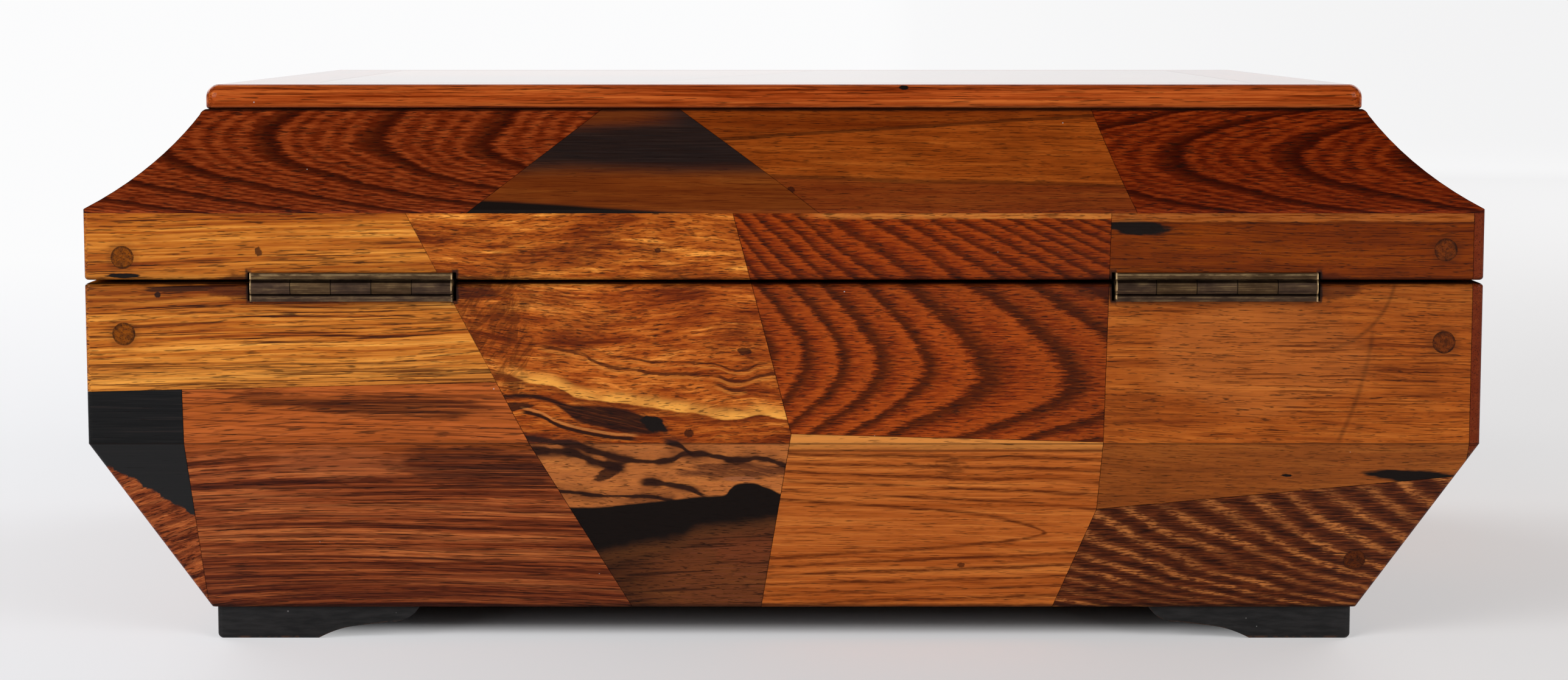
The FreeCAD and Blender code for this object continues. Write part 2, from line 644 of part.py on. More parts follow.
class Seam:
    """Straight seam through a point, leaning from the upright by an angle."""

    def __init__(self, across, upward, lean):
        self.across = across
        self.upward = upward
        self.lean = lean

    def at(self, level):
        """Where the seam crosses a level."""
        return f"({self.across} + (({level}) - ({self.upward})) * tan({self.lean}))"

    def corner(self, level, shift=0, lift=0):
        """Corner of a block on the seam."""
        return spot(self.at(level), level, shift, lift)


def blocks(side, plane, patches, rims):
    """Cut one wall's body and rim into blocks along the seams."""
    for wood, corners in patches.items():
        patch = prism(f"{side}_{wood}_patch", corners, plane)
        keep(within(f"{side}_body_{wood}", body_walls[side], patch))
        if wood in rims:
            keep(within(f"{side}_rim_{wood}", rim_walls[side], patch))


# Rear wall: eight blocks, four of them running on into the lid rim.
honey_z = f"({Z_FOLD} + Size.honey_foot_z)"
ebony_x = f"({HALF_X} - Size.ebony_width)"
ebony_z = f"({Z_FOLD} + Size.ebony_top)"
ebony_end = f"({ebony_z} - (Size.ebony_width + {BEYOND}) * tan(Size.ebony_tilt))"
russet_x = "(0 - Size.russet_foot_x)"
russet_z = f"({Z_FOLD} + Size.russet_foot_z)"
side_z = f"({Z_FOLD} + Size.russet_side_z)"
walnut_x = "(0 - Size.walnut_foot_x)"
walnut_z = f"({Z_FOLD} - Size.walnut_foot_z)"
walnut_end = f"({walnut_z} + ({OUT_X} - Size.walnut_foot_x) * tan(Size.walnut_tilt))"
honey_seam = Seam("Size.honey_foot_x", honey_z, "Size.honey_lean")
ebony_seam = Seam(ebony_x, ebony_z, "Size.ebony_lean")
russet_seam = Seam(russet_x, russet_z, "Size.russet_lean")
amber_seam = Seam(russet_x, russet_z, "-Size.amber_lean")
walnut_seam = Seam(walnut_x, walnut_z, "-Size.walnut_lean")
striped_seam = Seam(walnut_x, walnut_z, "-Size.striped_lean")
blocks("rear", "elevation", {
    "honey": [
        spot("Size.honey_foot_x", honey_z, 1, 1), honey_seam.corner(Z_CAP, 1), (OUT_X, Z_CAP),
        spot(OUT_X, ebony_end, 0, 1), spot(ebony_x, ebony_z, 0, 1),
    ],
    "ebony": [
        spot(ebony_x, ebony_z, 1, -1), spot(OUT_X, ebony_end, 0, -1),
        (OUT_X, Z_BELOW), ebony_seam.corner(Z_BELOW, 1),
    ],
    "rosewood": [
        spot("Size.honey_foot_x", honey_z, 1, -1), spot(ebony_x, ebony_z, -1, -1),
        ebony_seam.corner(Z_BELOW, -1), honey_seam.corner(Z_BELOW, 1),
    ],
    "marbled": [
        honey_seam.corner(Z_BELOW, -1), honey_seam.corner(Z_CAP, -1), russet_seam.corner(Z_CAP, 1),
        spot(russet_x, russet_z, 1), amber_seam.corner(Z_BELOW, 1),
    ],
    "russet": [
        spot(russet_x, russet_z, -1, 1), russet_seam.corner(Z_CAP, -1),
        walnut_seam.corner(Z_CAP, 1), walnut_seam.corner(side_z, 1, 1),
    ],
    "amber": [
        spot(russet_x, russet_z, -1, -1), walnut_seam.corner(side_z, 1, -1),
        spot(walnut_x, walnut_z, 1), striped_seam.corner(Z_BELOW, 1), amber_seam.corner(Z_BELOW, -1),
    ],
    "walnut": [
        walnut_seam.corner(Z_CAP, -1), (f"-{OUT_X}", Z_CAP),
        spot(f"-{OUT_X}", walnut_end, 0, 1), spot(walnut_x, walnut_z, -1, 1),
    ],
    "striped": [
        spot(walnut_x, walnut_z, -1, -1), spot(f"-{OUT_X}", walnut_end, 0, -1),
        (f"-{OUT_X}", Z_BELOW), striped_seam.corner(Z_BELOW, -1),
    ],
}, ("honey", "marbled", "russet", "walnut"))

# Front wall: one long seam, a cross seam on each side of it and a short seam low down.
front_x = "(0 - Size.front_seam_x)"
front_left = f"({Z_FOLD} + Size.front_left_z)"
front_left_end = f"({front_left} - ({OUT_X} - Size.front_seam_x) * tan(Size.front_left_tilt))"
front_right = f"({Z_FOLD} - Size.front_right_z)"
front_seam = Seam(front_x, front_left, "-Size.front_seam_lean")
front_slope = "tan(Size.front_right_tilt)"
front_right_end = f"({front_right} + ({OUT_X} + Size.front_seam_x) * {front_slope})"
front_low = f"({front_right} + (Size.front_low_x + Size.front_seam_x) * {front_slope})"
front_low_seam = Seam("Size.front_low_x", front_low, "Size.front_low_lean")
front_fork = f"({front_right} + ({front_seam.at(front_right)} + Size.front_seam_x) * {front_slope})"
blocks("front", "elevation", {
    "walnut": [
        spot(front_x, front_left, -1, 1), front_seam.corner(Z_CAP, -1),
        (f"-{OUT_X}", Z_CAP), spot(f"-{OUT_X}", front_left_end, 0, 1),
    ],
    "ebony": [
        spot(front_x, front_left, -1, -1), spot(f"-{OUT_X}", front_left_end, 0, -1),
        (f"-{OUT_X}", Z_BELOW), front_seam.corner(Z_BELOW, -1),
    ],
    "russet": [
        spot(front_seam.at(front_fork), front_fork, 1, 1), front_seam.corner(Z_CAP, 1),
        (OUT_X, Z_CAP), spot(OUT_X, front_right_end, 0, 1),
    ],
    "amber": [
        spot(front_seam.at(front_fork), front_fork, 1, -1), spot("Size.front_low_x", front_low, -1, -1),
        front_low_seam.corner(Z_BELOW, -1), front_seam.corner(Z_BELOW, 1),
    ],
    "marbled": [
        spot("Size.front_low_x", front_low, 1, -1), spot(OUT_X, front_right_end, 0, -1),
        (OUT_X, Z_BELOW), front_low_seam.corner(Z_BELOW, 1),
    ],
}, ("walnut", "russet"))

# Left and right walls: a long seam, and a cross seam on one side of it.
left_z = f"({Z_FOLD} + Size.left_cross_z)"
left_end = f"({left_z} - ({OUT_Y} - Size.left_seam_y) * tan(Size.left_cross_tilt))"
left_seam = Seam("Size.left_seam_y", left_z, "Size.left_seam_lean")
blocks("left", "side", {
    "honey": [
        (f"-{OUT_Y}", Z_CAP), (f"-{OUT_Y}", Z_BELOW),
        left_seam.corner(Z_BELOW, -1), left_seam.corner(Z_CAP, -1),
    ],
    "rosewood": [
        spot("Size.left_seam_y", left_z, 1, 1), left_seam.corner(Z_CAP, 1),
        (OUT_Y, Z_CAP), spot(OUT_Y, left_end, 0, 1),
    ],
    "striped": [
        spot("Size.left_seam_y", left_z, 1, -1), spot(OUT_Y, left_end, 0, -1),
        (OUT_Y, Z_BELOW), left_seam.corner(Z_BELOW, 1),
    ],
}, ("honey", "rosewood"))

right_y = "(0 - Size.right_seam_y)"
right_z = f"({Z_FOLD} - Size.right_cross_z)"
right_end = f"({right_z} + ({OUT_Y} - Size.right_seam_y) * tan(Size.right_cross_tilt))"
right_seam = Seam(right_y, right_z, "-Size.right_seam_lean")
blocks("right", "side", {
    "marbled": [
        (OUT_Y, Z_CAP), (OUT_Y, Z_BELOW),
        right_seam.corner(Z_BELOW, 1), right_seam.corner(Z_CAP, 1),
    ],
    "amber": [
        spot(right_y, right_z, -1, 1), right_seam.corner(Z_CAP, -1),
        (f"-{OUT_Y}", Z_CAP), spot(f"-{OUT_Y}", right_end, 0, 1),
    ],
    "rosewood": [
        spot(right_y, right_z, -1, -1), spot(f"-{OUT_Y}", right_end, 0, -1),
        (f"-{OUT_Y}", Z_BELOW), right_seam.corner(Z_BELOW, -1),
    ],
}, ("marbled", "amber"))


def cove_blocks(side, woods, seams):
    """Cut a cove rail into blocks along seams given by foot and head, from +X to -X."""
    ends = [(OUT_X, OUT_X)] + seams + [(f"-{OUT_X}", f"-{OUT_X}")]
    for index, wood in enumerate(woods):
        (foot_a, head_a), (foot_b, head_b) = ends[index], ends[index + 1]
        corners = [
            spot(foot_a, Z_RIM, -1), spot(head_a, Z_CAP, -1),
            spot(head_b, Z_CAP, 1), spot(foot_b, Z_RIM, 1),
        ]
        patch = prism(f"{side}_cove_{wood}_patch", corners, "elevation")
        keep(within(f"{side}_cove_{wood}", cove_rails[side], patch))


cove_blocks("rear", ("cathedral_right", "ebony", "walnut", "cathedral_left"), [
    ("Size.cove_left_foot", "Size.cove_left_head"),
    ("(0 - Size.cove_mid_foot)", "Size.cove_mid_head"),
    ("(0 - Size.cove_right_foot)", "(0 - Size.cove_right_head)"),
])
cove_blocks("front", ("cathedral", "rosewood"), [
    ("(0 - Size.front_cove_foot)", "Size.front_cove_head"),
])

# Top panel: four boards inside the cap mouldings.
panel_x = f"({HALF_X} - Size.cove_inset - Size.cap_frame - {GLUE})"
panel_y = f"({HALF_Y} - Size.cove_inset - Size.cap_frame - {GLUE})"
top_seam = Seam("Size.top_seam_x", "0", "Size.top_seam_lean")
top_right = "(0 - Size.top_right_y)"
top_boards = {
    "russet": [
        top_seam.corner(top_right, 1, 1), top_seam.corner(panel_y, 1),
        (panel_x, panel_y), spot(panel_x, top_right, 0, 1),
    ],
    "amber": [
        top_seam.corner(top_right, 1, -1), spot(panel_x, top_right, 0, -1),
        (panel_x, f"-{panel_y}"), top_seam.corner(f"(0 - {panel_y})", 1),
    ],
    "walnut": [
        top_seam.corner("Size.top_left_y", -1, 1), top_seam.corner(panel_y, -1),
        (f"-{panel_x}", panel_y), spot(f"-{panel_x}", "Size.top_left_y", 0, 1),
    ],
    "marbled": [
        top_seam.corner("Size.top_left_y", -1, -1), spot(f"-{panel_x}", "Size.top_left_y", 0, -1),
        (f"-{panel_x}", f"-{panel_y}"), top_seam.corner(f"(0 - {panel_y})", -1),
    ],
}
for wood, corners in top_boards.items():
    keep(within(f"top_board_{wood}", cap_form, prism(f"top_{wood}_patch", corners, "plan")))

# Base panel and bracket feet, held by one screw in each foot.
foot_corner_x = f"({foot_x} - Size.foot_inset)"
foot_corner_y = f"({foot_y} - Size.foot_inset)"
foot_screws = []
foot_holes = {}
feet = {
    "front_left": ("-", "-", 0),
    "front_right": ("", "-", 90),
    "rear_right": ("", "", 180),
    "rear_left": ("-", "", 270),
}
for corner, (sign_x, sign_y, angle) in feet.items():
    spot_x = f"{sign_x}({foot_corner_x} - Size.foot_screw_inset)"
    spot_y = f"{sign_y}({foot_corner_y} - Size.foot_screw_inset)"
    head = (spot_x, spot_y, "Size.foot_screw_sink")
    solid, hole = screw(f"{corner}_foot_screw", head, UPWARD, "Size.foot_screw_length")
    mouth_radius = "Size.screw_head + Size.screw_clear"
    mouth = rod(
        f"{corner}_mouth", mouth_radius, "Size.foot_screw_sink", (spot_x, spot_y, Z_BELOW), UPWARD
    )
    foot_screws.append(solid)
    foot_holes[corner] = joined(f"{corner}_screw_hole", [hole, mouth])
keep(group("foot_screws", foot_screws))

base_low = (f"{GLUE} - {base_x}", f"{GLUE} - {base_y}", Z_FOOT)
base_high = (f"{base_x} - {GLUE}", f"{base_y} - {GLUE}", base_top)
base_blank = cuboid("base_blank", base_low, base_high)
keep(without("base_panel", base_blank, joined("base_holes", list(foot_holes.values()))))

foot_corners = [
    ("0", "0"),
    ("Size.foot_pad", "0"),
    ("Size.foot_pad + Size.foot_hollow_run", "Size.foot_hollow_rise"),
    ("Size.foot_reach - Size.foot_nose_run", "Size.foot_height - Size.foot_nose_drop"),
    ("Size.foot_reach", "Size.foot_height"),
    ("0", "Size.foot_height"),
]
foot_arcs = {1: ("Size.foot_hollow_radius", -1), 3: ("Size.foot_nose_radius", 1)}


def foot(corner, sign_x, sign_y, angle):
    """Bracket foot: two arms with a hollow and a rounded end, meeting at an eased corner."""
    name = f"{corner}_foot_form"
    form = doc.addObject("PartDesign::Body", name)
    for arm, plane, reverse in (("across", "elevation", True), ("along", "side", False)):
        sketch = outline(f"{name}_{arm}", foot_corners, plane, foot_arcs, form)
        pad = form.newObject("PartDesign::Pad", f"{name}_{arm}_pad")
        pad.Profile = sketch
        pad.Reversed = reverse
        tie(pad, Length="Size.foot_width")
    doc.recompute()
    edges = []
    for index, edge in enumerate(pad.Shape.Edges, start=1):
        box = edge.BoundBox
        limits = sorted(abs(limit) for limit in (box.XMax, box.YMax, box.ZMax))
        if limits[1] < 1e-4:
            edges.append(f"Edge{index}")
    rounding = form.newObject("PartDesign::Fillet", name + "_rounding")
    rounding.Base = (pad, edges)
    tie(rounding, Radius="Size.foot_round")
    turn = FreeCAD.Rotation(FreeCAD.Vector(0, 0, 1), angle)
    place(form, f"{sign_x}{foot_corner_x}", f"{sign_y}{foot_corner_y}", "0", turn)
    keep(without(f"foot_{corner}", form, foot_holes[corner]))


for corner, (sign_x, sign_y, angle) in feet.items():
    foot(corner, sign_x, sign_y, angle)

doc.recompute()
for item in doc.Objects:
    if "Invalid" in item.State or "Error" in item.State:
        raise RuntimeError(f"{item.Name} failed to build")
for name, item in nodes.items():
    if item.Shape.isNull() or not item.Shape.isValid() or item.Shape.Volume <= 0:
        raise RuntimeError(f"{name} has no sound shape")

os.makedirs("parts", exist_ok=True)
for name, item in nodes.items():
    item.Shape.exportStep(f"parts/{name}.step")
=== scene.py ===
import math

import bmesh
import bpy
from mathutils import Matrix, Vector


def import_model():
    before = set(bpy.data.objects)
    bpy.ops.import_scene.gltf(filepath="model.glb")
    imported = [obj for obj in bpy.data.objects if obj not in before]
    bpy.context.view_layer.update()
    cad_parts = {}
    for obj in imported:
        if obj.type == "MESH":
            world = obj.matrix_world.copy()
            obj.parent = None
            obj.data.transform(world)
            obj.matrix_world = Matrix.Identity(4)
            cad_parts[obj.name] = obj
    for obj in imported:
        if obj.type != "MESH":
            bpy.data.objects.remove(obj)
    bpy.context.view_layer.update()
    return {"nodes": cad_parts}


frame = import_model()
scene = bpy.context.scene
scene.view_settings.view_transform = "Standard"


class Field:
    """A socket of a node tree that takes part in sums."""

    def __init__(self, shade, socket):
        self.shade = shade
        self.socket = socket

    def __add__(self, other):
        return self.shade.math("ADD", self, other)

    def __sub__(self, other):
        return self.shade.math("SUBTRACT", self, other)

    def __rsub__(self, other):
        return self.shade.math("SUBTRACT", other, self)

    def __mul__(self, other):
        return self.shade.math("MULTIPLY", self, other)

    def __truediv__(self, other):
        return self.shade.math("DIVIDE", self, other)


class Shade:
    """One material and the helpers that fill its node tree."""

    def __init__(self, name):
        self.material = bpy.data.materials.new(name)
        self.material.use_nodes = True
        self.tree = self.material.node_tree
        self.surface = self.tree.nodes["Principled BSDF"]
        self.output = self.tree.nodes["Material Output"]
        self.point = self.add("ShaderNodeTexCoord", {}).outputs["Object"]

    def put(self, socket, value):
        """Link a socket to a value, or set it to a constant."""
        if isinstance(value, Field):
            self.tree.links.new(value.socket, socket)
        elif isinstance(value, bpy.types.NodeSocket):
            self.tree.links.new(value, socket)
        else:
            socket.default_value = value

    def add(self, kind, inputs, **settings):
        """New node with its settings and inputs."""
        node = self.tree.nodes.new(kind)
        for key, value in settings.items():
            setattr(node, key, value)
        for key, value in inputs.items():
            self.put(node.inputs[key], value)
        return node

    def math(self, operation, *values):
        node = self.add("ShaderNodeMath", dict(enumerate(values)), operation=operation)
        return Field(self, node.outputs[0])

    def root(self, value):
        return self.math("SQRT", value)

    def fraction(self, value):
        return self.math("FRACT", value)

    def larger(self, a, b):
        return self.math("MAXIMUM", a, b)

    def smooth(self, value, low, high):
        """Soft step from 0 at low to 1 at high."""
        inputs = {"Value": value, "From Min": low, "From Max": high}
        node = self.add("ShaderNodeMapRange", inputs, interpolation_type="SMOOTHSTEP")
        return Field(self, node.outputs["Result"])

    def vector(self, x, y, z):
        return self.add("ShaderNodeCombineXYZ", {0: x, 1: y, 2: z}).outputs[0]

    def noise(self, place, detail=2.0, roughness=0.5, bend=0.0):
        """Soft noise from 0 to 1 over a place already scaled to its grain size."""
        inputs = {
            "Vector": self.vector(*place),
            "Scale": 1.0,
            "Detail": detail,
            "Roughness": roughness,
            "Distortion": bend,
        }
        return Field(self, self.add("ShaderNodeTexNoise", inputs).outputs["Fac"])

    def specks(self, place, size):
        """Round spots of a given radius, at most one in each unit cell."""
        node = self.add("ShaderNodeTexVoronoi", {"Vector": self.vector(*place), "Scale": 1.0})
        chance = self.add("ShaderNodeSeparateColor", {0: node.outputs["Color"]}).outputs[0]
        near = self.smooth(Field(self, node.outputs["Distance"]), size, size * 0.4)
        return near * self.smooth(Field(self, chance), 0.70, 0.72)

    def ramp(self, value, stops):
        """Colour read off a row of stops."""
        node = self.add("ShaderNodeValToRGB", {0: value})
        elements = node.color_ramp.elements
        while len(elements) < len(stops):
            elements.new(0.5)
        for element, (position, colour) in zip(elements, stops):
            element.position = position
            element.color = (*colour, 1)
        return Field(self, node.outputs["Color"])

    def mix(self, share, first, second):
        """Colour between two colours."""
        node = self.add("ShaderNodeMix", {0: share}, data_type="RGBA")
        for index, colour in ((6, first), (7, second)):
            self.put(node.inputs[index], colour if isinstance(colour, Field) else (*colour, 1))
        return Field(self, node.outputs[2])

    def dim(self, colour, share, depth):
        """Colour made darker by a share of a depth."""
        return self.mix(share * depth, colour, SHADOW)

    def bump(self, height, distance, strength):
        inputs = {"Height": height, "Distance": distance, "Strength": strength}
        return self.add("ShaderNodeBump", inputs).outputs["Normal"]

    def grain(self, along, across, shift=(0, 0)):
        """Millimetres along the grain, across it, and out of the face."""
        deep = Vector(along).cross(Vector(across))
        axes = []
        for axis, offset in ((along, shift[0]), (across, shift[1]), (deep, 0)):
            scaled = tuple(1000 * part for part in axis)
            node = self.add("ShaderNodeVectorMath", {0: self.point, 1: scaled}, operation="DOT_PRODUCT")
            axes.append(Field(self, node.outputs["Value"]) + offset)
        return axes

    def edges(self, radius):
        """1 along the edges of a piece."""
        rounded = self.add("ShaderNodeBevel", {"Radius": radius}, samples=2).outputs["Normal"]
        flat = self.add("ShaderNodeNewGeometry", {}).outputs["Normal"]
        node = self.add("ShaderNodeVectorMath", {0: rounded, 1: flat}, operation="DOT_PRODUCT")
        return self.smooth(Field(self, node.outputs["Value"]), 0.97, 0.80)

    def trace(self, u, points):
        """Height of a line drawn through points, over each place along the grain."""
        left, right = points[0][0], points[-1][0]
        low, high = min(w for _, w in points), max(w for _, w in points)
        node = self.add("ShaderNodeFloatCurve", {"Value": (u - left) / (right - left)})
        drawn = node.mapping.curves[0].points
        for _ in points[2:]:
            drawn.new(0.5, 0.5)
        for spot, (place, height) in zip(drawn, points):
            spot.location = ((place - left) / (right - left), (height - low) / (high - low))
        node.mapping.update()
        return Field(self, node.outputs["Value"]) * (high - low) + low

    def lens(self, u, w, middle, half, tilt, ragged):
        """Soft-edged oval patch, 1 inside, leaning by a tilt in degrees."""
        turn, lean = math.cos(math.radians(tilt)), math.sin(math.radians(tilt))
        du, dw = u - middle[0], w - middle[1]
        a = (du * turn + dw * lean) / half[0]
        b = (dw * turn - du * lean) / half[1]
        edge = self.noise((u / (half[0] * 0.5), w / (half[1] * 0.7), 0.0), 3) - 0.5
        return self.smooth(self.root(a * a + b * b) + edge * (2 * ragged), 1.15, 0.8)


REAR = ((-1, 0, 0), (0, 0, 1))
FRONT = ((1, 0, 0), (0, 0, 1))
LEFT = ((0, -1, 0), (0, 0, 1))
RIGHT = ((0, 1, 0), (0, 0, 1))
TOP = ((1, 0, 0), (0, 1, 0))

# Distance of each upright face from the middle of the box, in millimetres.
HALF_DEPTH = 140.0
HALF_WIDTH = 176.0
HALF_SIZE = {REAR: HALF_DEPTH, FRONT: HALF_DEPTH, LEFT: HALF_WIDTH, RIGHT: HALF_WIDTH}

# Heights, hinges and dowels on the box, in millimetres.
BODY_FOOT = 8.8
FOLD = 55.5
SEAM = 96.55
SEAM_HALF = 0.46
SEAM_SOFT = 0.6
CAP_FOOT = 139.1
HINGE_AXIS = 95.35
HINGE_MIDDLE = 108.6
HINGE_HALF = 25.4
HINGE_STAINS = ((-80.4, 95.4), (-136.6, 95.4), (80.6, 95.4), (137.0, 95.4))
PLUG_RADIUS = 2.8
DOWELS = ((-166.2, 102.7), (-166.2, 83.4), (166.2, 104.6), (166.2, 81.3), (148.1, 22.6))

# Tones and the gloss of the finish.
NEAR_BLACK = (0.008, 0.005, 0.004)
SHADOW = (0.006, 0.003, 0.002)
STAGE_WHITE = (0.97, 0.97, 0.975, 1)
COAT_IOR = 1.17
TOP_COAT_IOR = 1.45

# Lines of the marbled block: along the rear face, height.
GOLD_LINE = (
    (-80, 77.0), (-69.8, 73.9), (-63.8, 71.7), (-59.6, 71.2), (-55.9, 69.9), (-51.1, 67.7),
    (-41.4, 66.6), (-29.3, 64.8), (-20.2, 63.6), (-16.6, 62.6), (-11.2, 62.5), (-6.3, 63.5),
    (-0.3, 62.6), (8, 62.0),
)
RIPPLE_LINE = (
    (-75, 83.0), (-63.2, 80.8), (-55.9, 79.3), (-51.1, 78.4), (-48.1, 76.6), (-43.8, 75.1),
    (-37.8, 74.2), (-31.7, 73.3), (-23.3, 73.3), (-17.2, 72.7), (-11.2, 71.4), (-6.3, 72.7),
    (8, 74.5),
)
KNOT_TOP = (
    (-72.3, 67.8), (-64.4, 68.4), (-59.6, 67.5), (-53.5, 65.5), (-43.8, 65.0), (-37.2, 63.4),
    (-32.3, 61.1), (-29.5, 59.2),
)
KNOT_FOOT = (
    (-72.3, 66.6), (-64.4, 66.9), (-59.6, 66.0), (-55.9, 63.9), (-51.1, 60.8), (-43.8, 59.0),
    (-37.8, 57.8), (-29.5, 58.6),
)
SCAR_LINE = (
    (-66.5, 63.8), (-61.4, 62.5), (-57.1, 60.2), (-50.5, 58.4), (-43.8, 57.2), (-36.6, 56.7),
)
BLACK_TOP = (
    (-66, 37.4), (-56.4, 37.7), (-48.1, 37.7), (-38.9, 38.7), (-29.7, 39.7), (-20.5, 40.8),
    (-15.6, 41.1), (-13.7, 42.9), (-9.4, 44.6), (-5.2, 43.6), (-0.9, 41.5), (6, 38.5),
)
BLACK_FOOT = (
    (-66, 19.0), (-48.6, 23.4), (-36.1, 26.2), (-26.8, 28.3), (-20.6, 31.1), (-11.4, 32.1),
    (-2.1, 33.2), (6, 34.0),
)
# Dark veins: line, half width, left end, right end.
VEINS = (
    (((-70, 58.0), (-67.4, 57.5), (-60.8, 56.3), (-53.5, 55.3), (-48.7, 53.6), (-43.9, 52.2),
      (-38.5, 50.8), (-33.1, 50.5), (-28.2, 51.2), (-24.5, 52.9), (-17.3, 52.0), (-11.2, 51.0),
      (-6.3, 51.5), (-2.7, 50.5), (5, 46.5)), 0.85, -69.0, 6.0),
    (((-30, 56.3), (-28.7, 55.7), (-26.9, 55.2), (-23.9, 53.1), (-22.5, 52.4)), 0.7, -29.5, -23.0),
    (((-66, 53.5), (-58.4, 53.6), (-54.8, 53.3), (-51.2, 51.9), (-47.6, 50.5), (-42.2, 49.1),
      (-40, 48.8)), 1.25, -66.0, -41.0),
    (((-37, 45.1), (-32.0, 44.6), (-25.9, 43.6), (-21.7, 41.5), (-19, 40.5)), 0.9, -36.0, -20.5),
    (((-60, 42.4), (-52.8, 41.8), (-48.0, 41.1), (-41.9, 40.8), (-35.8, 40.8), (-29.7, 39.7),
      (-26, 39.3)), 0.5, -59.0, -28.0),
)
# Small dark knots of the marbled and the walnut blocks: middle, half size.
SMALL_KNOTS = (((-10, 79.0), (1.8, 1.0)), ((-31.7, 104.5), (0.8, 0.7)), ((-24, 58.2), (1.2, 1.1)))
WALNUT_KNOTS = (((160.5, 46.4), (12.5, 1.8)), ((88.8, 110.2), (8.0, 1.9)), ((128, 46.7), (1.4, 0.4)))
# Growth rings of the russet block: place of the tip along the face, number of the ring.
RINGS = (
    (-60, -6.0), (-8, -0.2), (3.3, 1), (12.9, 2), (22.6, 3), (34.9, 4), (47.5, 5), (69.2, 6), (92, 7.2),
    (170, 12), (260, 18),
)


def spread(value, gain):
    """Widen a noise about its middle."""
    return (value - 0.5) * gain + 0.5


def fibre(s, u, w, d, length=11, width=0.42):
    """Fine threads along the grain, from 0 to 1."""
    return s.noise((u / length, w / width, d / width), 3, 0.62)


def pores(s, u, w, d, length, width, amount):
    """Short dark dashes along the grain."""
    return s.smooth(s.noise((u / length, w / width, d / width), 1.5, 0.6), amount, amount + 0.09)


def lines(s, u, w, d, length, width, amount):
    """Long thin dark lines along the grain that fade in and out."""
    return s.smooth(s.noise((u / length, w / width, d / width), 2.5, 0.6), amount, amount + 0.08)


def figure(s, u, w, d, length, width, gain):
    """Bands, streaks and threads along the grain, mixed into one value about 0.5."""
    broad = s.noise((u / length, w / width, d / (2 * width)), 3, 0.6, 0.3)
    streak = s.noise((u / (0.3 * length), w / (0.28 * width), d / (0.4 * width)), 3, 0.62)
    return spread(broad * 0.45 + streak * 0.35 + fibre(s, u, w, d) * 0.2, gain)


def honey(s, u, w, d):
    """Golden wood with clusters of dark lines."""
    w = w - u * 0.024 + s.noise((u / 120, w / 30, d / 40), 2) * 5
    colour = s.ramp(figure(s, u, w, d, 150, 3.0, 4.2), (
        (0.0, (0.20, 0.034, 0.003)), (0.26, (0.345, 0.082, 0.008)), (0.5, (0.490, 0.145, 0.015)),
        (0.75, (0.63, 0.220, 0.028)), (1.0, (0.82, 0.34, 0.055)),
    ))
    cluster = s.smooth(s.noise((u / 170, w / 3.4, d / 6), 2), 0.42, 0.58) * 0.85 + 0.15
    dark = lines(s, u, w, d, 26, 0.46, 0.53) * cluster
    colour = s.mix(dark * 0.95, colour, (0.055, 0.009, 0.002))
    return colour, pores(s, u, w, d, 5.0, 0.32, 0.57)


def rosewood(s, u, w, d):
    """Red-brown wood with dark stripes that sag a little."""
    w = w + s.noise((u / 120, w / 24, d / 30), 1) * 6 + (u + 95) * (u + 95) * 0.0006
    colour = s.ramp(figure(s, u, w, d, 190, 2.8, 5.0), (
        (0.0, (0.056, 0.009, 0.003)), (0.27, (0.155, 0.028, 0.007)), (0.5, (0.265, 0.055, 0.013)),
        (0.76, (0.39, 0.093, 0.022)), (1.0, (0.55, 0.155, 0.038)),
    ))
    stripe = s.fraction(w / 3.1 + s.noise((u / 140, w / 12, d / 20), 2) * 2.2)
    dark = s.smooth(stripe, 0.45, 0.75) * s.smooth(stripe, 1.0, 0.88)
    colour = s.mix(dark * 0.42, colour, (0.045, 0.009, 0.005))
    colour = s.mix(lines(s, u, w, d, 30, 0.45, 0.545) * 0.8, colour, (0.030, 0.006, 0.003))
    return colour, pores(s, u, w, d, 6.0, 0.34, 0.575)


def marbled(s, u, w, d):
    """Wavy orange-brown wood with flecks and blotches."""
    w = w + s.noise((u / 60, w / 30, d / 20), 1) * 8 + s.noise((u / 10, w / 8, d / 9), 1) * 1.3
    colour = s.ramp(figure(s, u, w, d, 30, 4.0, 4.4), (
        (0.0, (0.100, 0.013, 0.001)), (0.26, (0.20, 0.034, 0.003)), (0.5, (0.305, 0.064, 0.006)),
        (0.76, (0.44, 0.116, 0.013)), (1.0, (0.66, 0.225, 0.033)),
    ))
    fleck = lines(s, u, w, d, 3.4, 0.36, 0.54)
    colour = s.mix(fleck * 0.75, colour, (0.085, 0.012, 0.001))
    blotch = s.smooth(s.noise((u / 14, w / 9, d / 12), 3, 0.6), 0.48, 0.68)
    colour = s.dim(colour, blotch * spread(fibre(s, u, w, d, 2.4, 0.5), 2.5), 0.6)
    return colour, pores(s, u, w, d, 2.8, 0.34, 0.58)


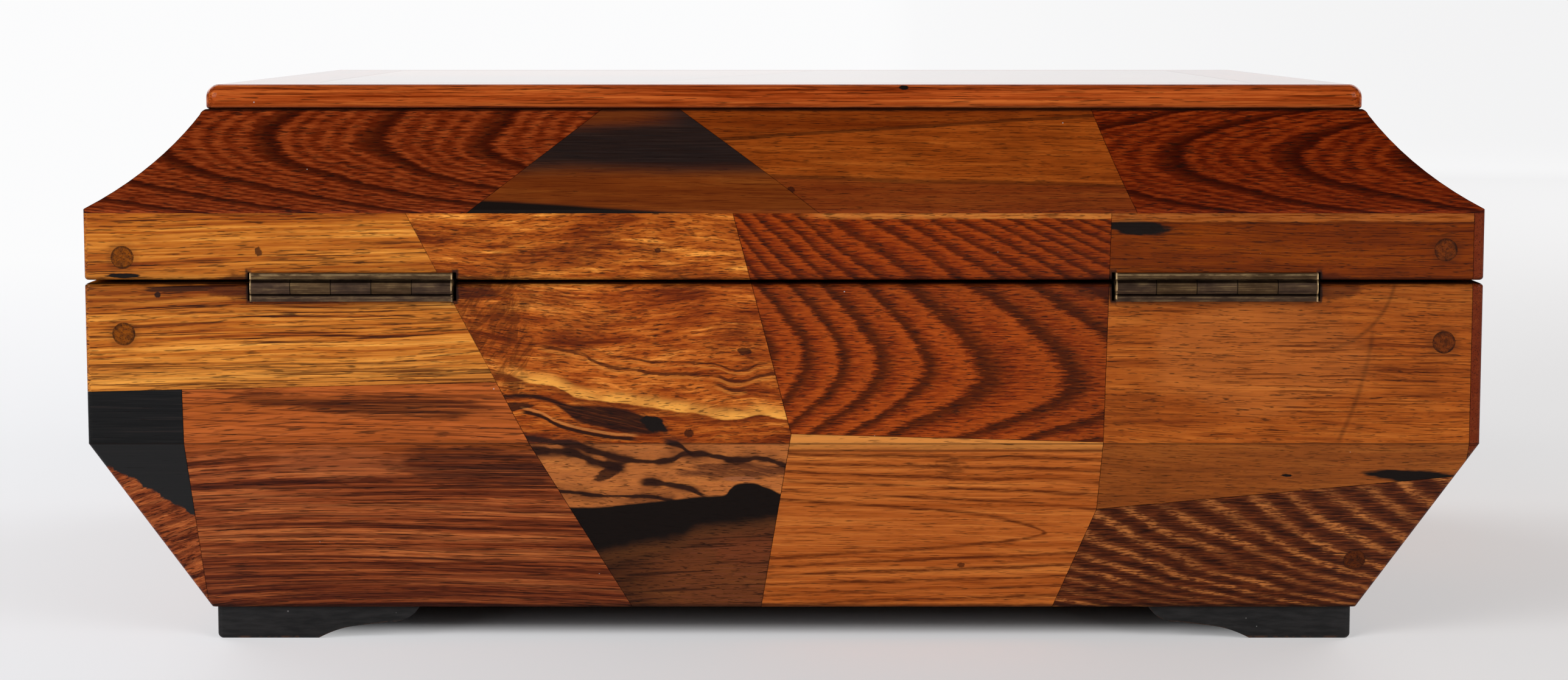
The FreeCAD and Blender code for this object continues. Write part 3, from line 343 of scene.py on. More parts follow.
def russet(s, u, w, d, finer=1.0, contrast=0.86):
    """Red wood with bold rings bent round a tip."""
    rise = w - 77.3 + u * 0.07
    limb = s.root(rise * rise + 110.0) - 10.5
    low = s.smooth(rise, 2.0, -2.0)
    narrowing = s.math("MINIMUM", limb * (low * 0.017 + 0.011), 0.45)
    sway = s.noise((u / 24, w / 18, d / 14), 1) * 5 - 2.5
    tip = (u + limb * (1.02 - low * 0.10) + sway + (d - HALF_DEPTH) * 0.15) / (1 - narrowing)
    hatch = s.noise((u / 3.2, w / 0.45, d / 0.6), 2, 0.6)
    ring = s.fraction(s.trace(tip, RINGS) * finer + hatch * 0.5 - 0.25)
    dark = s.smooth(ring, 0.0, 0.14) * s.smooth(ring, 0.62, 0.20)
    colour = s.ramp(spread(fibre(s, u, w, d, 5, 0.45), 3.4), (
        (0.0, (0.120, 0.012, 0.001)), (0.5, (0.235, 0.031, 0.002)), (1.0, (0.37, 0.064, 0.006)),
    ))
    colour = s.mix(s.smooth(ring, 0.55, 0.98) * 0.42, colour, (0.40, 0.072, 0.006))
    colour = s.mix(dark * contrast, colour, (0.044, 0.006, 0.0))
    return colour, pores(s, u, w, d, 3.2, 0.36, 0.565)


def amber(s, u, w, d):
    """Orange wood with thin rings drawn out into a flame."""
    w = w + s.noise((u / 45, w / 16, d / 20), 2) * 2.4 - 1.2
    rise = w - 31.5
    square = rise * rise
    flame = s.root(s.larger(square + u * 1.08, 0.01))
    steep = s.root(square + 0.29) / flame
    ring = s.fraction((flame - 8.43) / 2.6 + s.noise((u / 60, w / 4, 0.0), 2) * 0.35 + 0.325)
    off_line = s.math("ABSOLUTE", ring - 0.5) * 2.6 / steep
    strength = s.smooth(s.noise((u / 30, w / 2.0, d / 5), 2), 0.28, 0.52)
    strength = s.larger(strength, s.smooth(flame, 9.8, 9.2) * 0.8) * s.smooth(flame, 6.6, 7.4)
    strength = strength * (s.smooth(flame, 62, 30) * 0.8 + 0.2)
    dashes = s.smooth(s.noise((u / 5, w / 0.35, d / 0.6), 2, 0.6), 0.36, 0.58) * 0.6 + 0.4
    line = s.smooth(off_line, 0.85, 0.10) * strength * dashes
    colour = s.ramp(figure(s, u, w, d, 100, 2.6, 3.6), (
        (0.0, (0.285, 0.055, 0.006)), (0.5, (0.490, 0.122, 0.018)), (1.0, (0.67, 0.210, 0.036)),
    ))
    colour = s.mix(line * 0.88, colour, (0.080, 0.011, 0.002))
    colour = s.mix(lines(s, u, w, d, 14, 0.34, 0.58) * 0.65, colour, (0.13, 0.020, 0.003))
    return colour, pores(s, u, w, d, 5.0, 0.30, 0.60)


def walnut(s, u, w, d):
    """Plain brown wood with a faint cross curl."""
    w = w + u * 0.025 + s.noise((u / 70, w / 22, d / 30), 2) * 5
    colour = s.ramp(figure(s, u, w, d, 60, 3.0, 3.0), (
        (0.0, (0.165, 0.029, 0.003)), (0.5, (0.335, 0.075, 0.008)), (1.0, (0.51, 0.145, 0.019)),
    ))
    curl = s.smooth(s.noise((u / 7, w / 16, d / 12), 2), 0.42, 0.68)
    colour = s.dim(colour, curl, 0.12)
    dark = lines(s, u, w, d, 13, 0.33, 0.565)
    colour = s.mix(dark * 0.7, colour, (0.075, 0.011, 0.001))
    return colour, pores(s, u, w, d, 3.4, 0.26, 0.59)


def striped(s, u, w, d):
    """Dark wood with gold stripes that flatten towards the foot."""
    level = s.math("LOGARITHM", s.larger(w, 2.0), math.e)
    sway = s.noise((u / 22, w / 12, d / 10), 2) * 10
    hatch = s.noise((u / 3.8, w / 0.5, d / 0.7), 2, 0.6)
    ring = s.fraction((u + level * 49.5 + sway + d * 0.2) / 11.4 + hatch * 0.55)
    middle = s.smooth(ring, 0.05, 0.40) * s.smooth(ring, 1.0, 0.70)
    gold = s.smooth(ring, 0.24, 0.46) * s.smooth(ring, 0.80, 0.56)
    dash = s.smooth(s.noise((u / 3.0, w / 0.42, d / 0.6), 2, 0.6), 0.40, 0.56)
    bright = s.smooth(s.noise((u / 24, w / 9, d / 10), 2), 0.30, 0.64) * 0.7 + 0.20
    colour = s.ramp(spread(fibre(s, u, w, d, 7, 0.5), 3.2), (
        (0.0, (0.018, 0.004, 0.002)), (0.5, (0.056, 0.012, 0.004)), (1.0, (0.150, 0.034, 0.008)),
    ))
    colour = s.mix(middle * 0.4, colour, (0.145, 0.034, 0.009))
    colour = s.mix(gold * dash * bright, colour, (0.50, 0.172, 0.040))
    return colour, pores(s, u, w, d, 5.0, 0.34, 0.57)


def ebony(s, u, w, d):
    """Almost black wood."""
    colour = s.ramp(spread(fibre(s, u, w, d, 20), 2.6), (
        (0.1, (0.006, 0.006, 0.006)), (0.6, (0.009, 0.009, 0.009)), (1.0, (0.018, 0.014, 0.013)),
    ))
    return colour, pores(s, u, w, d, 4.0, 0.3, 0.68)


def cathedral(s, u, w, d, apex=131.2, start=-141.5, spacing=28.0, upper=0.17, lower=0.17, wander=30):
    """Dark red wood with nested arches round one height."""
    rise = w - apex
    sway = s.noise((u / 26, w / 12, d / 10), 2) * 8 - 4
    sway = sway + s.noise((u / 75, w / 40, d / 30), 1) * wander - 0.5 * wander
    bend = s.smooth(rise, 2.0, -3.0) * (lower - upper) + upper
    hatch = s.noise((u / 4, w / 0.6, d / 0.7), 2, 0.6)
    place = u - start - rise * rise * bend + sway + d * 0.1 - 14
    broad = s.fraction(place / spacing + hatch * 0.22 - 0.11)
    fine = s.fraction(place / (spacing / 5) + hatch * 1.1)
    dark = s.smooth(broad, 0.02, 0.24) * s.smooth(broad, 0.38, 0.28)
    ripple = s.smooth(fine, 0.1, 0.5) * s.smooth(fine, 1.0, 0.65)
    colour = s.ramp(spread(fibre(s, u, w, d, 5, 0.55), 3.0) * 0.65 + ripple * 0.35, (
        (0.08, (0.080, 0.009, 0.001)), (0.45, (0.158, 0.022, 0.004)), (0.95, (0.30, 0.060, 0.012)),
    ))
    colour = s.mix(dark * 0.9, colour, (0.036, 0.004, 0.001))
    return colour, pores(s, u, w, d, 3.4, 0.45, 0.56)


def plain_cap(s, u, w, d):
    """Straight red-brown wood of the cap."""
    colour = s.ramp(figure(s, u, w, d, 110, 1.9, 4.6), (
        (0.0, (0.17, 0.020, 0.002)), (0.5, (0.345, 0.059, 0.009)), (1.0, (0.52, 0.120, 0.020)),
    ))
    colour = s.mix(lines(s, u, w, d, 40, 0.45, 0.58) * 0.8, colour, (0.075, 0.008, 0.001))
    return colour, pores(s, u, w, d, 6.0, 0.30, 0.61)


def plug_distance(s, u, w):
    """Distance to the nearest corner dowel."""
    nearest = None
    for place in DOWELS:
        du, dw = u - place[0], w - place[1]
        gap = s.root(du * du + dw * dw)
        nearest = gap if nearest is None else s.math("MINIMUM", nearest, gap)
    return nearest


def outer_skin(s, d, outside):
    """1 on the outside of a wall, fading to 0 a few millimetres in."""
    return s.smooth(d, outside - 4.0, outside - 1.0)


def leaning(s, w):
    """1 on the leaning foot of the wall, below the fold."""
    return s.smooth(w, FOLD + 0.2, FOLD - 0.2)


def painted_seam_cap_and_foot_shade(s, colour, u, w, d, outside):
    """Painted shade along the lid seam and inside its gap, a thin dark line along the fold, a painted
    shadow line under the cap, and painted shade at the foot of the wall.
    """
    ragged = s.noise((u / 5, w / 2, d / 5), 3) * 1.8 - 0.9
    skin = outer_skin(s, d, outside)
    off_seam = s.math("ABSOLUTE", w - SEAM)
    # Painted shade: a ragged dark band along the lid seam, darker still on the faces inside the seam
    # gap.
    colour = s.dim(colour, s.smooth(off_seam + ragged, 1.7, 0.4) * skin, 0.6)
    colour = s.dim(colour, s.smooth(off_seam, SEAM_SOFT, SEAM_HALF) * skin, 0.9)
    colour = s.dim(colour, s.smooth(s.math("ABSOLUTE", w - FOLD), 0.30, 0.08), 0.6)
    # Painted shadow: a dark line where the cap overhangs the cove.
    off_cap = s.math("ABSOLUTE", w - CAP_FOOT)
    colour = s.dim(colour, s.smooth(off_cap + ragged * 0.2, 0.75, 0.25), 0.85)
    # Painted shade: darker towards the foot of the wall, above the dark gap under the box.
    return s.dim(colour, s.smooth(w + ragged * 0.5, BODY_FOOT + 1.4, BODY_FOOT + 0.2), 0.7)


def rear_rings_stains_and_mortise_shade(s, colour, u, w, d):
    """Dark rings round the dowels, stains at the hinge ends, and painted shadow in the mortise gap
    beside each hinge end.
    """
    ragged = s.noise((u / 2, w / 2, 0.0), 3) - 0.5
    ring = plug_distance(s, u, w)
    upper = 1 - leaning(s, w) * 0.6
    close = s.smooth(ring + ragged * 0.5, PLUG_RADIUS + 0.2, PLUG_RADIUS)
    colour = s.dim(colour, close * upper, 0.45)
    colour = s.dim(colour, s.smooth(ring + ragged * 3, PLUG_RADIUS + 2.4, PLUG_RADIUS + 0.2), 0.25)
    off_axis = s.math("ABSOLUTE", w - HINGE_AXIS)
    skin = outer_skin(s, d, HALF_DEPTH)
    for middle in HINGE_STAINS:
        stain = s.lens(u, w, middle, (9.0, 3.2), 0, 0.6)
        colour = s.mix(stain * skin * 0.66, colour, (0.040, 0.006, 0.002))
    # Painted shadow: near-black strips in the mortise gap just past each end of the hinges.
    off_middle = s.math("ABSOLUTE", s.math("ABSOLUTE", u) - HINGE_MIDDLE)
    beside = s.math("ABSOLUTE", off_middle - HINGE_HALF - 0.5)
    mortise_shadow = s.smooth(beside + ragged, 1.1, 0.5) * s.smooth(off_axis + ragged * 2, 5.0, 3.6)
    return s.mix(mortise_shadow * skin * 0.85, colour, NEAR_BLACK)


def stroke(s, w, line, half):
    """1 on a drawn line of a given half width."""
    return s.smooth(s.math("ABSOLUTE", w - line), half, half * 0.4)


def honey_marks(s, colour, u, w, d):
    """Pale lower band, dark cracks by the seam and small knots."""
    colour = s.mix(s.smooth(w, 79, 72) * 0.35, colour, (0.72, 0.29, 0.045))
    low = lines(s, u, w - u * 0.02, d, 34, 0.55, 0.52) * s.smooth(w, 81, 73)
    colour = s.mix(low * 0.8, colour, (0.080, 0.014, 0.002))
    colour = s.dim(colour, s.smooth(w, 86, 94) * s.smooth(w, 100, 97), 0.22)
    colour = s.mix(s.lens(u, w, (-166, 98.1), (4.5, 0.6), 0, 0.5), colour, NEAR_BLACK)
    colour = s.mix(s.lens(u, w, (-152, 94.8), (10, 0.7), 1, 0.8) * 0.85, colour, (0.02, 0.006, 0.003))
    colour = s.mix(s.lens(u, w, (-157.5, 93.3), (0.8, 0.8), 0, 0.3), colour, (0.03, 0.01, 0.006))
    colour = s.mix(s.lens(u, w, (-132, 104.2), (0.9, 1.2), 20, 0.5) * 0.85, colour, (0.04, 0.010, 0.003))
    return rear_rings_stains_and_mortise_shade(s, colour, u, w, d)


def ebony_marks(s, colour, u, w, d):
    """Greyer below the fold, a painted reflection of the pale floor on the leaning face, with a corner
    of sapwood.
    """
    # Painted reflection: the leaning face below the fold is greyed as if it mirrored the pale floor.
    colour = s.mix(leaning(s, w) * 0.7, colour, (0.020, 0.020, 0.020))
    sap, _ = rosewood(s, u + w * 0.9, w - u * 0.35, d)
    edge = s.noise((u / 3.4, w / 3.4, 0.0), 4, 0.6) * 5 - 2.5
    below = w + u * 0.69 + 69.1 + edge
    colour = s.mix(s.smooth(below, 0.35, -0.35), colour, sap)
    return rear_rings_stains_and_mortise_shade(s, colour, u, w, d)


def rosewood_marks(s, colour, u, w, d):
    """Light upper band, dark flames and smudges, dark foot."""
    sway = s.noise((u / 30, w / 5, 0.0), 3, 0.6) * 5 - 2.5
    threads = s.smooth(s.noise((u / 45, w / 0.8, 3.0), 3, 0.62), 0.36, 0.60)
    colour = s.mix(s.smooth(w, 48, 60) * 0.58, colour, (0.50, 0.113, 0.015))
    flame = s.lens(u, w + sway * 0.5, (-98, 64.8), (25, 3.4), -2, 0.45)
    flame = s.larger(flame, s.lens(u, w + sway * 0.3, (-127, 66.6), (13, 1.8), -2, 0.6) * 0.9)
    colour = s.mix(flame * (threads * 0.65 + 0.32), colour, (0.045, 0.008, 0.002))
    pink = s.lens(u, w, (-113, 50), (17, 4.5), 0, 0.5)
    colour = s.mix(pink * 0.35, colour, (0.46, 0.125, 0.035))
    smudge = s.lens(u, w + sway * 0.4, (-77, 49.2), (22, 5.6), -3, 0.6)
    colour = s.mix(smudge * (threads * 0.75 + 0.15), colour, (0.050, 0.012, 0.006))
    feather = lines(s, u, w + u * 0.03, d, 36, 0.6, 0.54) * s.smooth(w, 48, 60)
    colour = s.mix(feather * 0.65, colour, (0.090, 0.015, 0.003))
    colour = s.mix(stroke(s, w + sway * 0.15, 43.3, 0.5) * 0.6, colour, (0.030, 0.007, 0.004))
    colour = s.mix(s.smooth(w, 28, 12) * 0.28, colour, (0.060, 0.012, 0.008))
    return rear_rings_stains_and_mortise_shade(s, colour, u, w, d)


def marbled_marks(s, colour, u, w, d):
    """Gold seam, ripples, knot, veins and the black patch, and paler below the fold as a painted
    reflection of the floor.
    """
    ragged = s.noise((u / 5, w / 3, 0.0), 3, 0.6) * 2.4 - 1.2
    thin = s.smooth(s.noise((u / 8, w / 5, 0.0), 2), 0.35, 0.6)
    thread = fibre(s, u, w + u * 0.23, d, 14, 0.5)
    curl = s.smooth(s.noise((u / 5, (w - u) / 4, 0.0), 4, 0.65, 1.2), 0.40, 0.58)
    shade = s.lens(u, w, (-72, 83), (11, 15), 0, 0.6)
    colour = s.mix(shade * (curl * 0.55 + 0.12), colour, (0.070, 0.012, 0.001))
    # Painted reflection: paler below the fold, where the leaning face looks down at the pale floor.
    colour = s.mix(leaning(s, w) * 0.60, colour, (0.60, 0.205, 0.054))
    above = w - s.trace(u, GOLD_LINE) + ragged * 0.5
    gold = s.smooth(above, -1.0, -0.5) * s.smooth(above, 3.2, 0.0) * (thin * 0.4 + 0.6)
    colour = s.mix(gold * s.smooth(u + ragged * 2, -71, -62), colour, (0.80, 0.34, 0.056))
    under = s.smooth(above, -3.2, -1.4) * s.smooth(above, -0.4, -1.1) * s.smooth(u, 4, -30)
    colour = s.mix(under * 0.5, colour, (0.09, 0.018, 0.003))
    crest = w - s.trace(u, RIPPLE_LINE) + ragged * 0.4
    for offset, half, start in ((0.0, 0.6, -62), (-2.2, 0.6, -19), (2.9, 0.35, -45)):
        broken = s.smooth(s.noise((u / 12, offset, 0.0), 2), 0.36, 0.50)
        short = broken * s.smooth(u, start - 4, start + 4)
        colour = s.mix(stroke(s, crest, offset, half) * short * 0.85, colour, (0.06, 0.010, 0.002))
        light = stroke(s, crest, offset - 0.9, half) * short
        colour = s.mix(light * 0.45, colour, (0.62, 0.21, 0.03))
    top = s.trace(u, KNOT_TOP) - w + ragged * 0.25
    foot = w - s.trace(u, KNOT_FOOT) + ragged * 0.25
    knot = s.smooth(top, -0.3, 0.5) * s.smooth(foot, -0.3, 0.6) * s.smooth(u, -28.8, -29.6)
    core = s.mix(s.smooth(thread, 0.46, 0.70) * 0.6, (0.012, 0.003, 0.002), (0.120, 0.025, 0.006))
    colour = s.mix(knot * s.smooth(u, -73, -71) * 0.96, colour, core)
    colour = s.mix(s.lens(u, w, (-33, 60.6), (3.6, 1.9), -20, 0.5), colour, NEAR_BLACK)
    colour = s.mix(s.lens(u, w, (-68.6, 65.0), (5.2, 1.1), 3, 0.5) * 0.9, colour, (0.026, 0.006, 0.002))
    off_scar = w - s.trace(u, SCAR_LINE) + ragged * 0.2
    ends = s.smooth(u, -67, -65) * s.smooth(u, -36, -39)
    colour = s.mix(stroke(s, off_scar, 0.9, 0.50) * ends * 0.5, colour, (0.62, 0.23, 0.055))
    colour = s.mix(stroke(s, off_scar, 0.0, 0.65) * ends, colour, (0.026, 0.006, 0.002))
    smudge = s.lens(u, w, (-12, 47.8), (14, 2.5), 0, 0.6) * (s.smooth(thread, 0.3, 0.6) * 0.5 + 0.5)
    colour = s.mix(smudge * 0.85, colour, (0.075, 0.020, 0.009))
    colour = s.mix(s.lens(u, w, (-11.2, 45.7), (4.5, 0.7), 0, 0.4) * 0.8, colour, (0.40, 0.135, 0.050))
    colour = s.mix(s.lens(u, w, (-44.6, 47.4), (4.4, 1.5), 28, 0.5) * 0.9, colour, (0.030, 0.009, 0.005))
    for line, half, left, right in VEINS:
        ends = s.smooth(u + ragged, left - 2, left + 1) * s.smooth(u + ragged, right + 2, right - 1)
        weight = thin * half * 0.9 + half * 0.8
        off_vein = s.math("ABSOLUTE", w - s.trace(u, line) + ragged * 0.35)
        halo = s.smooth(off_vein + ragged, 3.6, 0.3)
        colour = s.mix(halo * ends * (thin * 0.45 + 0.2), colour, (0.070, 0.018, 0.007))
        vein = s.smooth(off_vein, weight, weight * 0.4)
        colour = s.mix(vein * ends * 0.95, colour, (0.020, 0.007, 0.005))
    foot = w - s.trace(u, BLACK_FOOT) + ragged
    low = s.mix(0.76, colour, (0.046, 0.008, 0.005))
    low = s.mix(s.lens(u, w, (-10, 27), (8, 6), 0, 0.6) * 0.5, low, (0.190, 0.044, 0.014))
    low = s.mix(lines(s, u, w - u * 0.05, d, 18, 0.7, 0.54) * 0.5, low, (0.200, 0.055, 0.020))
    low = s.mix(lines(s, u, w - u * 0.05, d + 30, 24, 0.9, 0.54) * 0.7, low, (0.025, 0.007, 0.004))
    low = s.dim(low, s.smooth(u + ragged * 3, -24, -46), 0.6)
    colour = s.mix(s.smooth(foot, 3.0, -4.0), colour, low)
    upper = w - s.trace(u, BLACK_TOP) + ragged * 0.15
    colour = s.mix(s.smooth(upper, 0.35, -0.35) * s.smooth(foot, -7.0, 3.0), colour, NEAR_BLACK)
    for middle, half in SMALL_KNOTS:
        colour = s.mix(s.lens(u, w, middle, half, 0, 0.5) * 0.85, colour, (0.03, 0.006, 0.002))
    return rear_rings_stains_and_mortise_shade(s, colour, u, w, d)


def russet_marks(s, colour, u, w, d):
    """Darker by the hinge, and a painted highlight along the rim's upper edge."""
    dusk = s.smooth(u, 40, 84) * 0.35 + s.smooth(w, 84, 95) * s.smooth(w, 102, 97) * 0.3
    colour = s.mix(dusk, colour, s.dim(colour, 1.0, 0.55))
    colour = s.mix(s.lens(u, w, (19.7, 84.6), (1.4, 0.7), 0, 0.6) * 0.8, colour, (0.04, 0.006, 0.001))
    # Painted highlight: a broken pale line where the rim's eased upper edge would catch the light.
    wear_and_highlight = s.noise((u / 9, w / 0.5, 0.0), 3, 0.6)
    strip = s.smooth(w + wear_and_highlight * 0.8, 112.6, 113.1) * s.smooth(u, 2, 12) * s.smooth(wear_and_highlight, 0.25, 0.60)
    colour = s.mix(strip * 0.9, colour, (0.52, 0.170, 0.028))
    return rear_rings_stains_and_mortise_shade(s, colour, u, w, d)


def amber_marks(s, colour, u, w, d):
    """Pale strip above a line at the top, a smudge and a knot."""
    pale = s.smooth(w + s.noise((u / 30, w / 1.5, 0.0), 3) * 3.6, 54.0, 57.2)
    colour = s.mix(pale * 0.65, colour, (0.68, 0.27, 0.055))
    colour = s.mix(stroke(s, w, 53.6, 0.45) * 0.7, colour, (0.11, 0.020, 0.004))
    smudge = s.lens(u, w, (42, 49), (5.5, 2.8), 0, 0.7)
    smudge = smudge * s.smooth(fibre(s, u, w, d, 4, 0.6), 0.35, 0.62)
    colour = s.mix(smudge * 0.6, colour, (0.08, 0.016, 0.004))
    colour = s.mix(s.lens(u, w, (46, 21), (1.0, 0.7), 0, 0.6) * 0.8, colour, (0.06, 0.012, 0.003))
    return rear_rings_stains_and_mortise_shade(s, colour, u, w, d)


def arc(s, u, w, middle, radius, half):
    """Thin soft line along a circle."""
    du, dw = u - middle[0], w - middle[1]
    return s.smooth(s.math("ABSOLUTE", s.root(du * du + dw * dw) - radius), half, 0.0)


def walnut_marks(s, colour, u, w, d):
    """Two curved scratches, streaks, black cracks, a painted sheen, painted haze and shade below the
    fold, and a painted highlight along the rim's upper edge.
    """
    scratch = arc(s, u, w, (133, 100), 20.9, 0.9) * s.lens(u, w, (147, 87), (12, 12), 0, 0.3)
    scratch = scratch + arc(s, u, w, (60, 95), 89, 1.1) * s.lens(u, w, (145, 69), (9, 16), 0, 0.3)
    colour = s.dim(colour, scratch, 0.38)
    # Painted sheen: a broad lighter patch in the middle of the face.
    shine = s.lens(u, w, (120, 77), (28, 14), 0, 0.4)
    colour = s.mix(shine * 0.25, colour, (0.52, 0.16, 0.032))
    streaks = lines(s, u, w, d, 24, 0.5, 0.535) * s.lens(u, w, (142, 74), (32, 14), 0, 0.6)
    colour = s.mix(streaks * 0.75, colour, (0.09, 0.015, 0.002))
    colour = s.dim(colour, s.smooth(w, 82, 95), 0.2)
    # Painted reflection and shade: below the fold the leaning face is made browner, as a haze of the
    # floor's reflection, and a little darker.
    cant = leaning(s, w)
    colour = s.dim(s.mix(cant * 0.30, colour, (0.28, 0.090, 0.022)), cant, 0.14)
    for middle, half in WALNUT_KNOTS:
        colour = s.mix(s.lens(u, w, middle, half, -4, 0.4), colour, NEAR_BLACK)
    # Painted highlight: a broken pale line where the rim's eased upper edge would catch the light, with
    # a dark line just below it.
    strip = s.smooth(w, 111.4, 112.0) * s.smooth(s.noise((u / 9, w / 0.5, 0.0), 3, 0.6), 0.30, 0.60)
    colour = s.mix(strip * 0.6, colour, (0.44, 0.130, 0.022))
    colour = s.dim(colour, stroke(s, w, 111.3, 0.35), 0.4)
    return rear_rings_stains_and_mortise_shade(s, colour, u, w, d)


def lip_marks(s, colour, u, w, d):
    """End grain of the left wall, which shows at the edge of the rear face."""
    return s.mix(s.smooth(u, 1.6 - HALF_DEPTH, 0.8 - HALF_DEPTH) * 0.9, colour, (0.125, 0.016, 0.003))


def cove_ebony_marks(s, colour, u, w, d):
    """Brown wood below the black, and a black tail at the foot."""
    sway = s.noise((u / 40, w / 5, 0.0), 3) * 6 - 3
    brown, _ = walnut(s, u, w, d)
    brown = s.mix(0.62, brown, (0.070, 0.009, 0.002))
    colour = s.mix(s.smooth(w + sway * 0.5, 126.4, 121.2) * 0.94 + 0.06, colour, brown)
    streak = s.smooth(w + sway * 0.7, 132.8, 137.4) * s.smooth(u, -22, -40)
    colour = s.mix(streak * 0.7, colour, brown)
    tail = s.smooth(w + (u + 80) * 0.055 + sway * 0.15, 117.4, 116.6)
    return s.mix(tail, colour, NEAR_BLACK)


def cove_walnut_marks(s, colour, u, w, d):
    """Darker upper and lower bands with a line at each, one knot."""
    sway = s.noise((u / 50, w / 6, 0.0), 3) * 2.4 - 1.2
    top = w + sway * 0.6 - u * 0.062 - 132.4
    colour = s.mix(s.smooth(top, -0.5, 0.7) * 0.48, colour, (0.090, 0.010, 0.001))
    colour = s.dim(colour, stroke(s, top, 0.2, 0.6), 0.5)
    low = w + sway + u * 0.03 - 122.6
    colour = s.mix(s.smooth(low, 0.9, -0.9) * 0.47, colour, (0.090, 0.010, 0.004))
    colour = s.dim(colour, stroke(s, low, 0.0, 0.6), 0.4)
    return s.mix(s.lens(u, w, (1.7, 119.3), (1.0, 0.8), 0, 0.4) * 0.85, colour, (0.03, 0.006, 0.003))


def base_underside_shade(s, colour, u, w, d):
    """Painted shade on the underside of the base."""
    return s.dim(colour, s.smooth(d, BODY_FOOT + 2.0, BODY_FOOT + 1.0), 0.85)


def cap_marks(s, colour, u, w, d):
    """Dark ticks on the rounded edge, painted shade along the lower edge, and one chip."""
    ticks = lines(s, u, w, d, 9, 0.4, 0.55) * s.smooth(w, 142.4, 144.4)
    colour = s.mix(ticks * 0.8, colour, (0.045, 0.006, 0.001))
    # Painted shade: darker towards the cap's foot, where its rounding turns down.
    colour = s.dim(colour, s.smooth(w, 141.6, 139.6), 0.3)
    chip = s.lens(u, w, (31, 144.6), (1.3, 0.6), 0, 0.3)
    return s.mix(chip, colour, NEAR_BLACK)


def lacquer(s, colour, dashes, u, w, d, coat_ior=COAT_IOR):
    """Clear gloss over wood, with filled pores, edge wear, dust and a little haze."""
    colour = s.dim(colour, dashes, 0.68)
    wear_and_highlight = s.edges(0.0003) * s.smooth(s.noise((u / 3, w / 3, d / 3), 3), 0.30, 0.62)
    colour = s.dim(colour, wear_and_highlight, 0.55)
    dust = s.specks((u / 8.0, w / 8.0, d / 8.0), 0.028)
    colour = s.mix(dust * 0.6, colour, (0.62, 0.58, 0.54))
    s.put(s.surface.inputs["Base Color"], colour)
    haze = s.noise((u / 30, w / 30, d / 30), 3)
    s.put(s.surface.inputs["Roughness"], haze * 0.2 + 0.45)
    s.put(s.surface.inputs["Specular IOR Level"], 0.0)
    off_seam = s.smooth(s.math("ABSOLUTE", w - SEAM), SEAM_HALF, SEAM_SOFT)
    s.put(s.surface.inputs["Coat Weight"], off_seam)
    s.put(s.surface.inputs["Coat Roughness"], 0.06)
    s.put(s.surface.inputs["Coat IOR"], coat_ior)
    s.put(s.surface.inputs["Normal"], s.bump(1 - dashes, 0.0001, 0.5))
    swell = s.noise((u / 6, w / 6, d / 6), 2)
    s.put(s.surface.inputs["Coat Normal"], s.bump(swell, 0.0002, 0.12))
    return s.material


def wood(name, recipe, face, shift, marks=None, gain=None, coat_ior=COAT_IOR, **options):
    """Lacquered wood material laid along one face of the box."""
    s = Shade(name)
    colour, dashes = recipe(s, *s.grain(*face, shift), **options)
    if gain:
        node = s.add("ShaderNodeVectorMath", {0: colour, 1: gain}, operation="MULTIPLY")
        colour = Field(s, node.outputs[0])
    u, w, d = s.grain(*face)
    if marks:
        colour = marks(s, colour, u, w, d)
    if face in HALF_SIZE:
        colour = painted_seam_cap_and_foot_shade(s, colour, u, w, d, HALF_SIZE[face])
    return lacquer(s, colour, dashes, u, w, d, coat_ior)


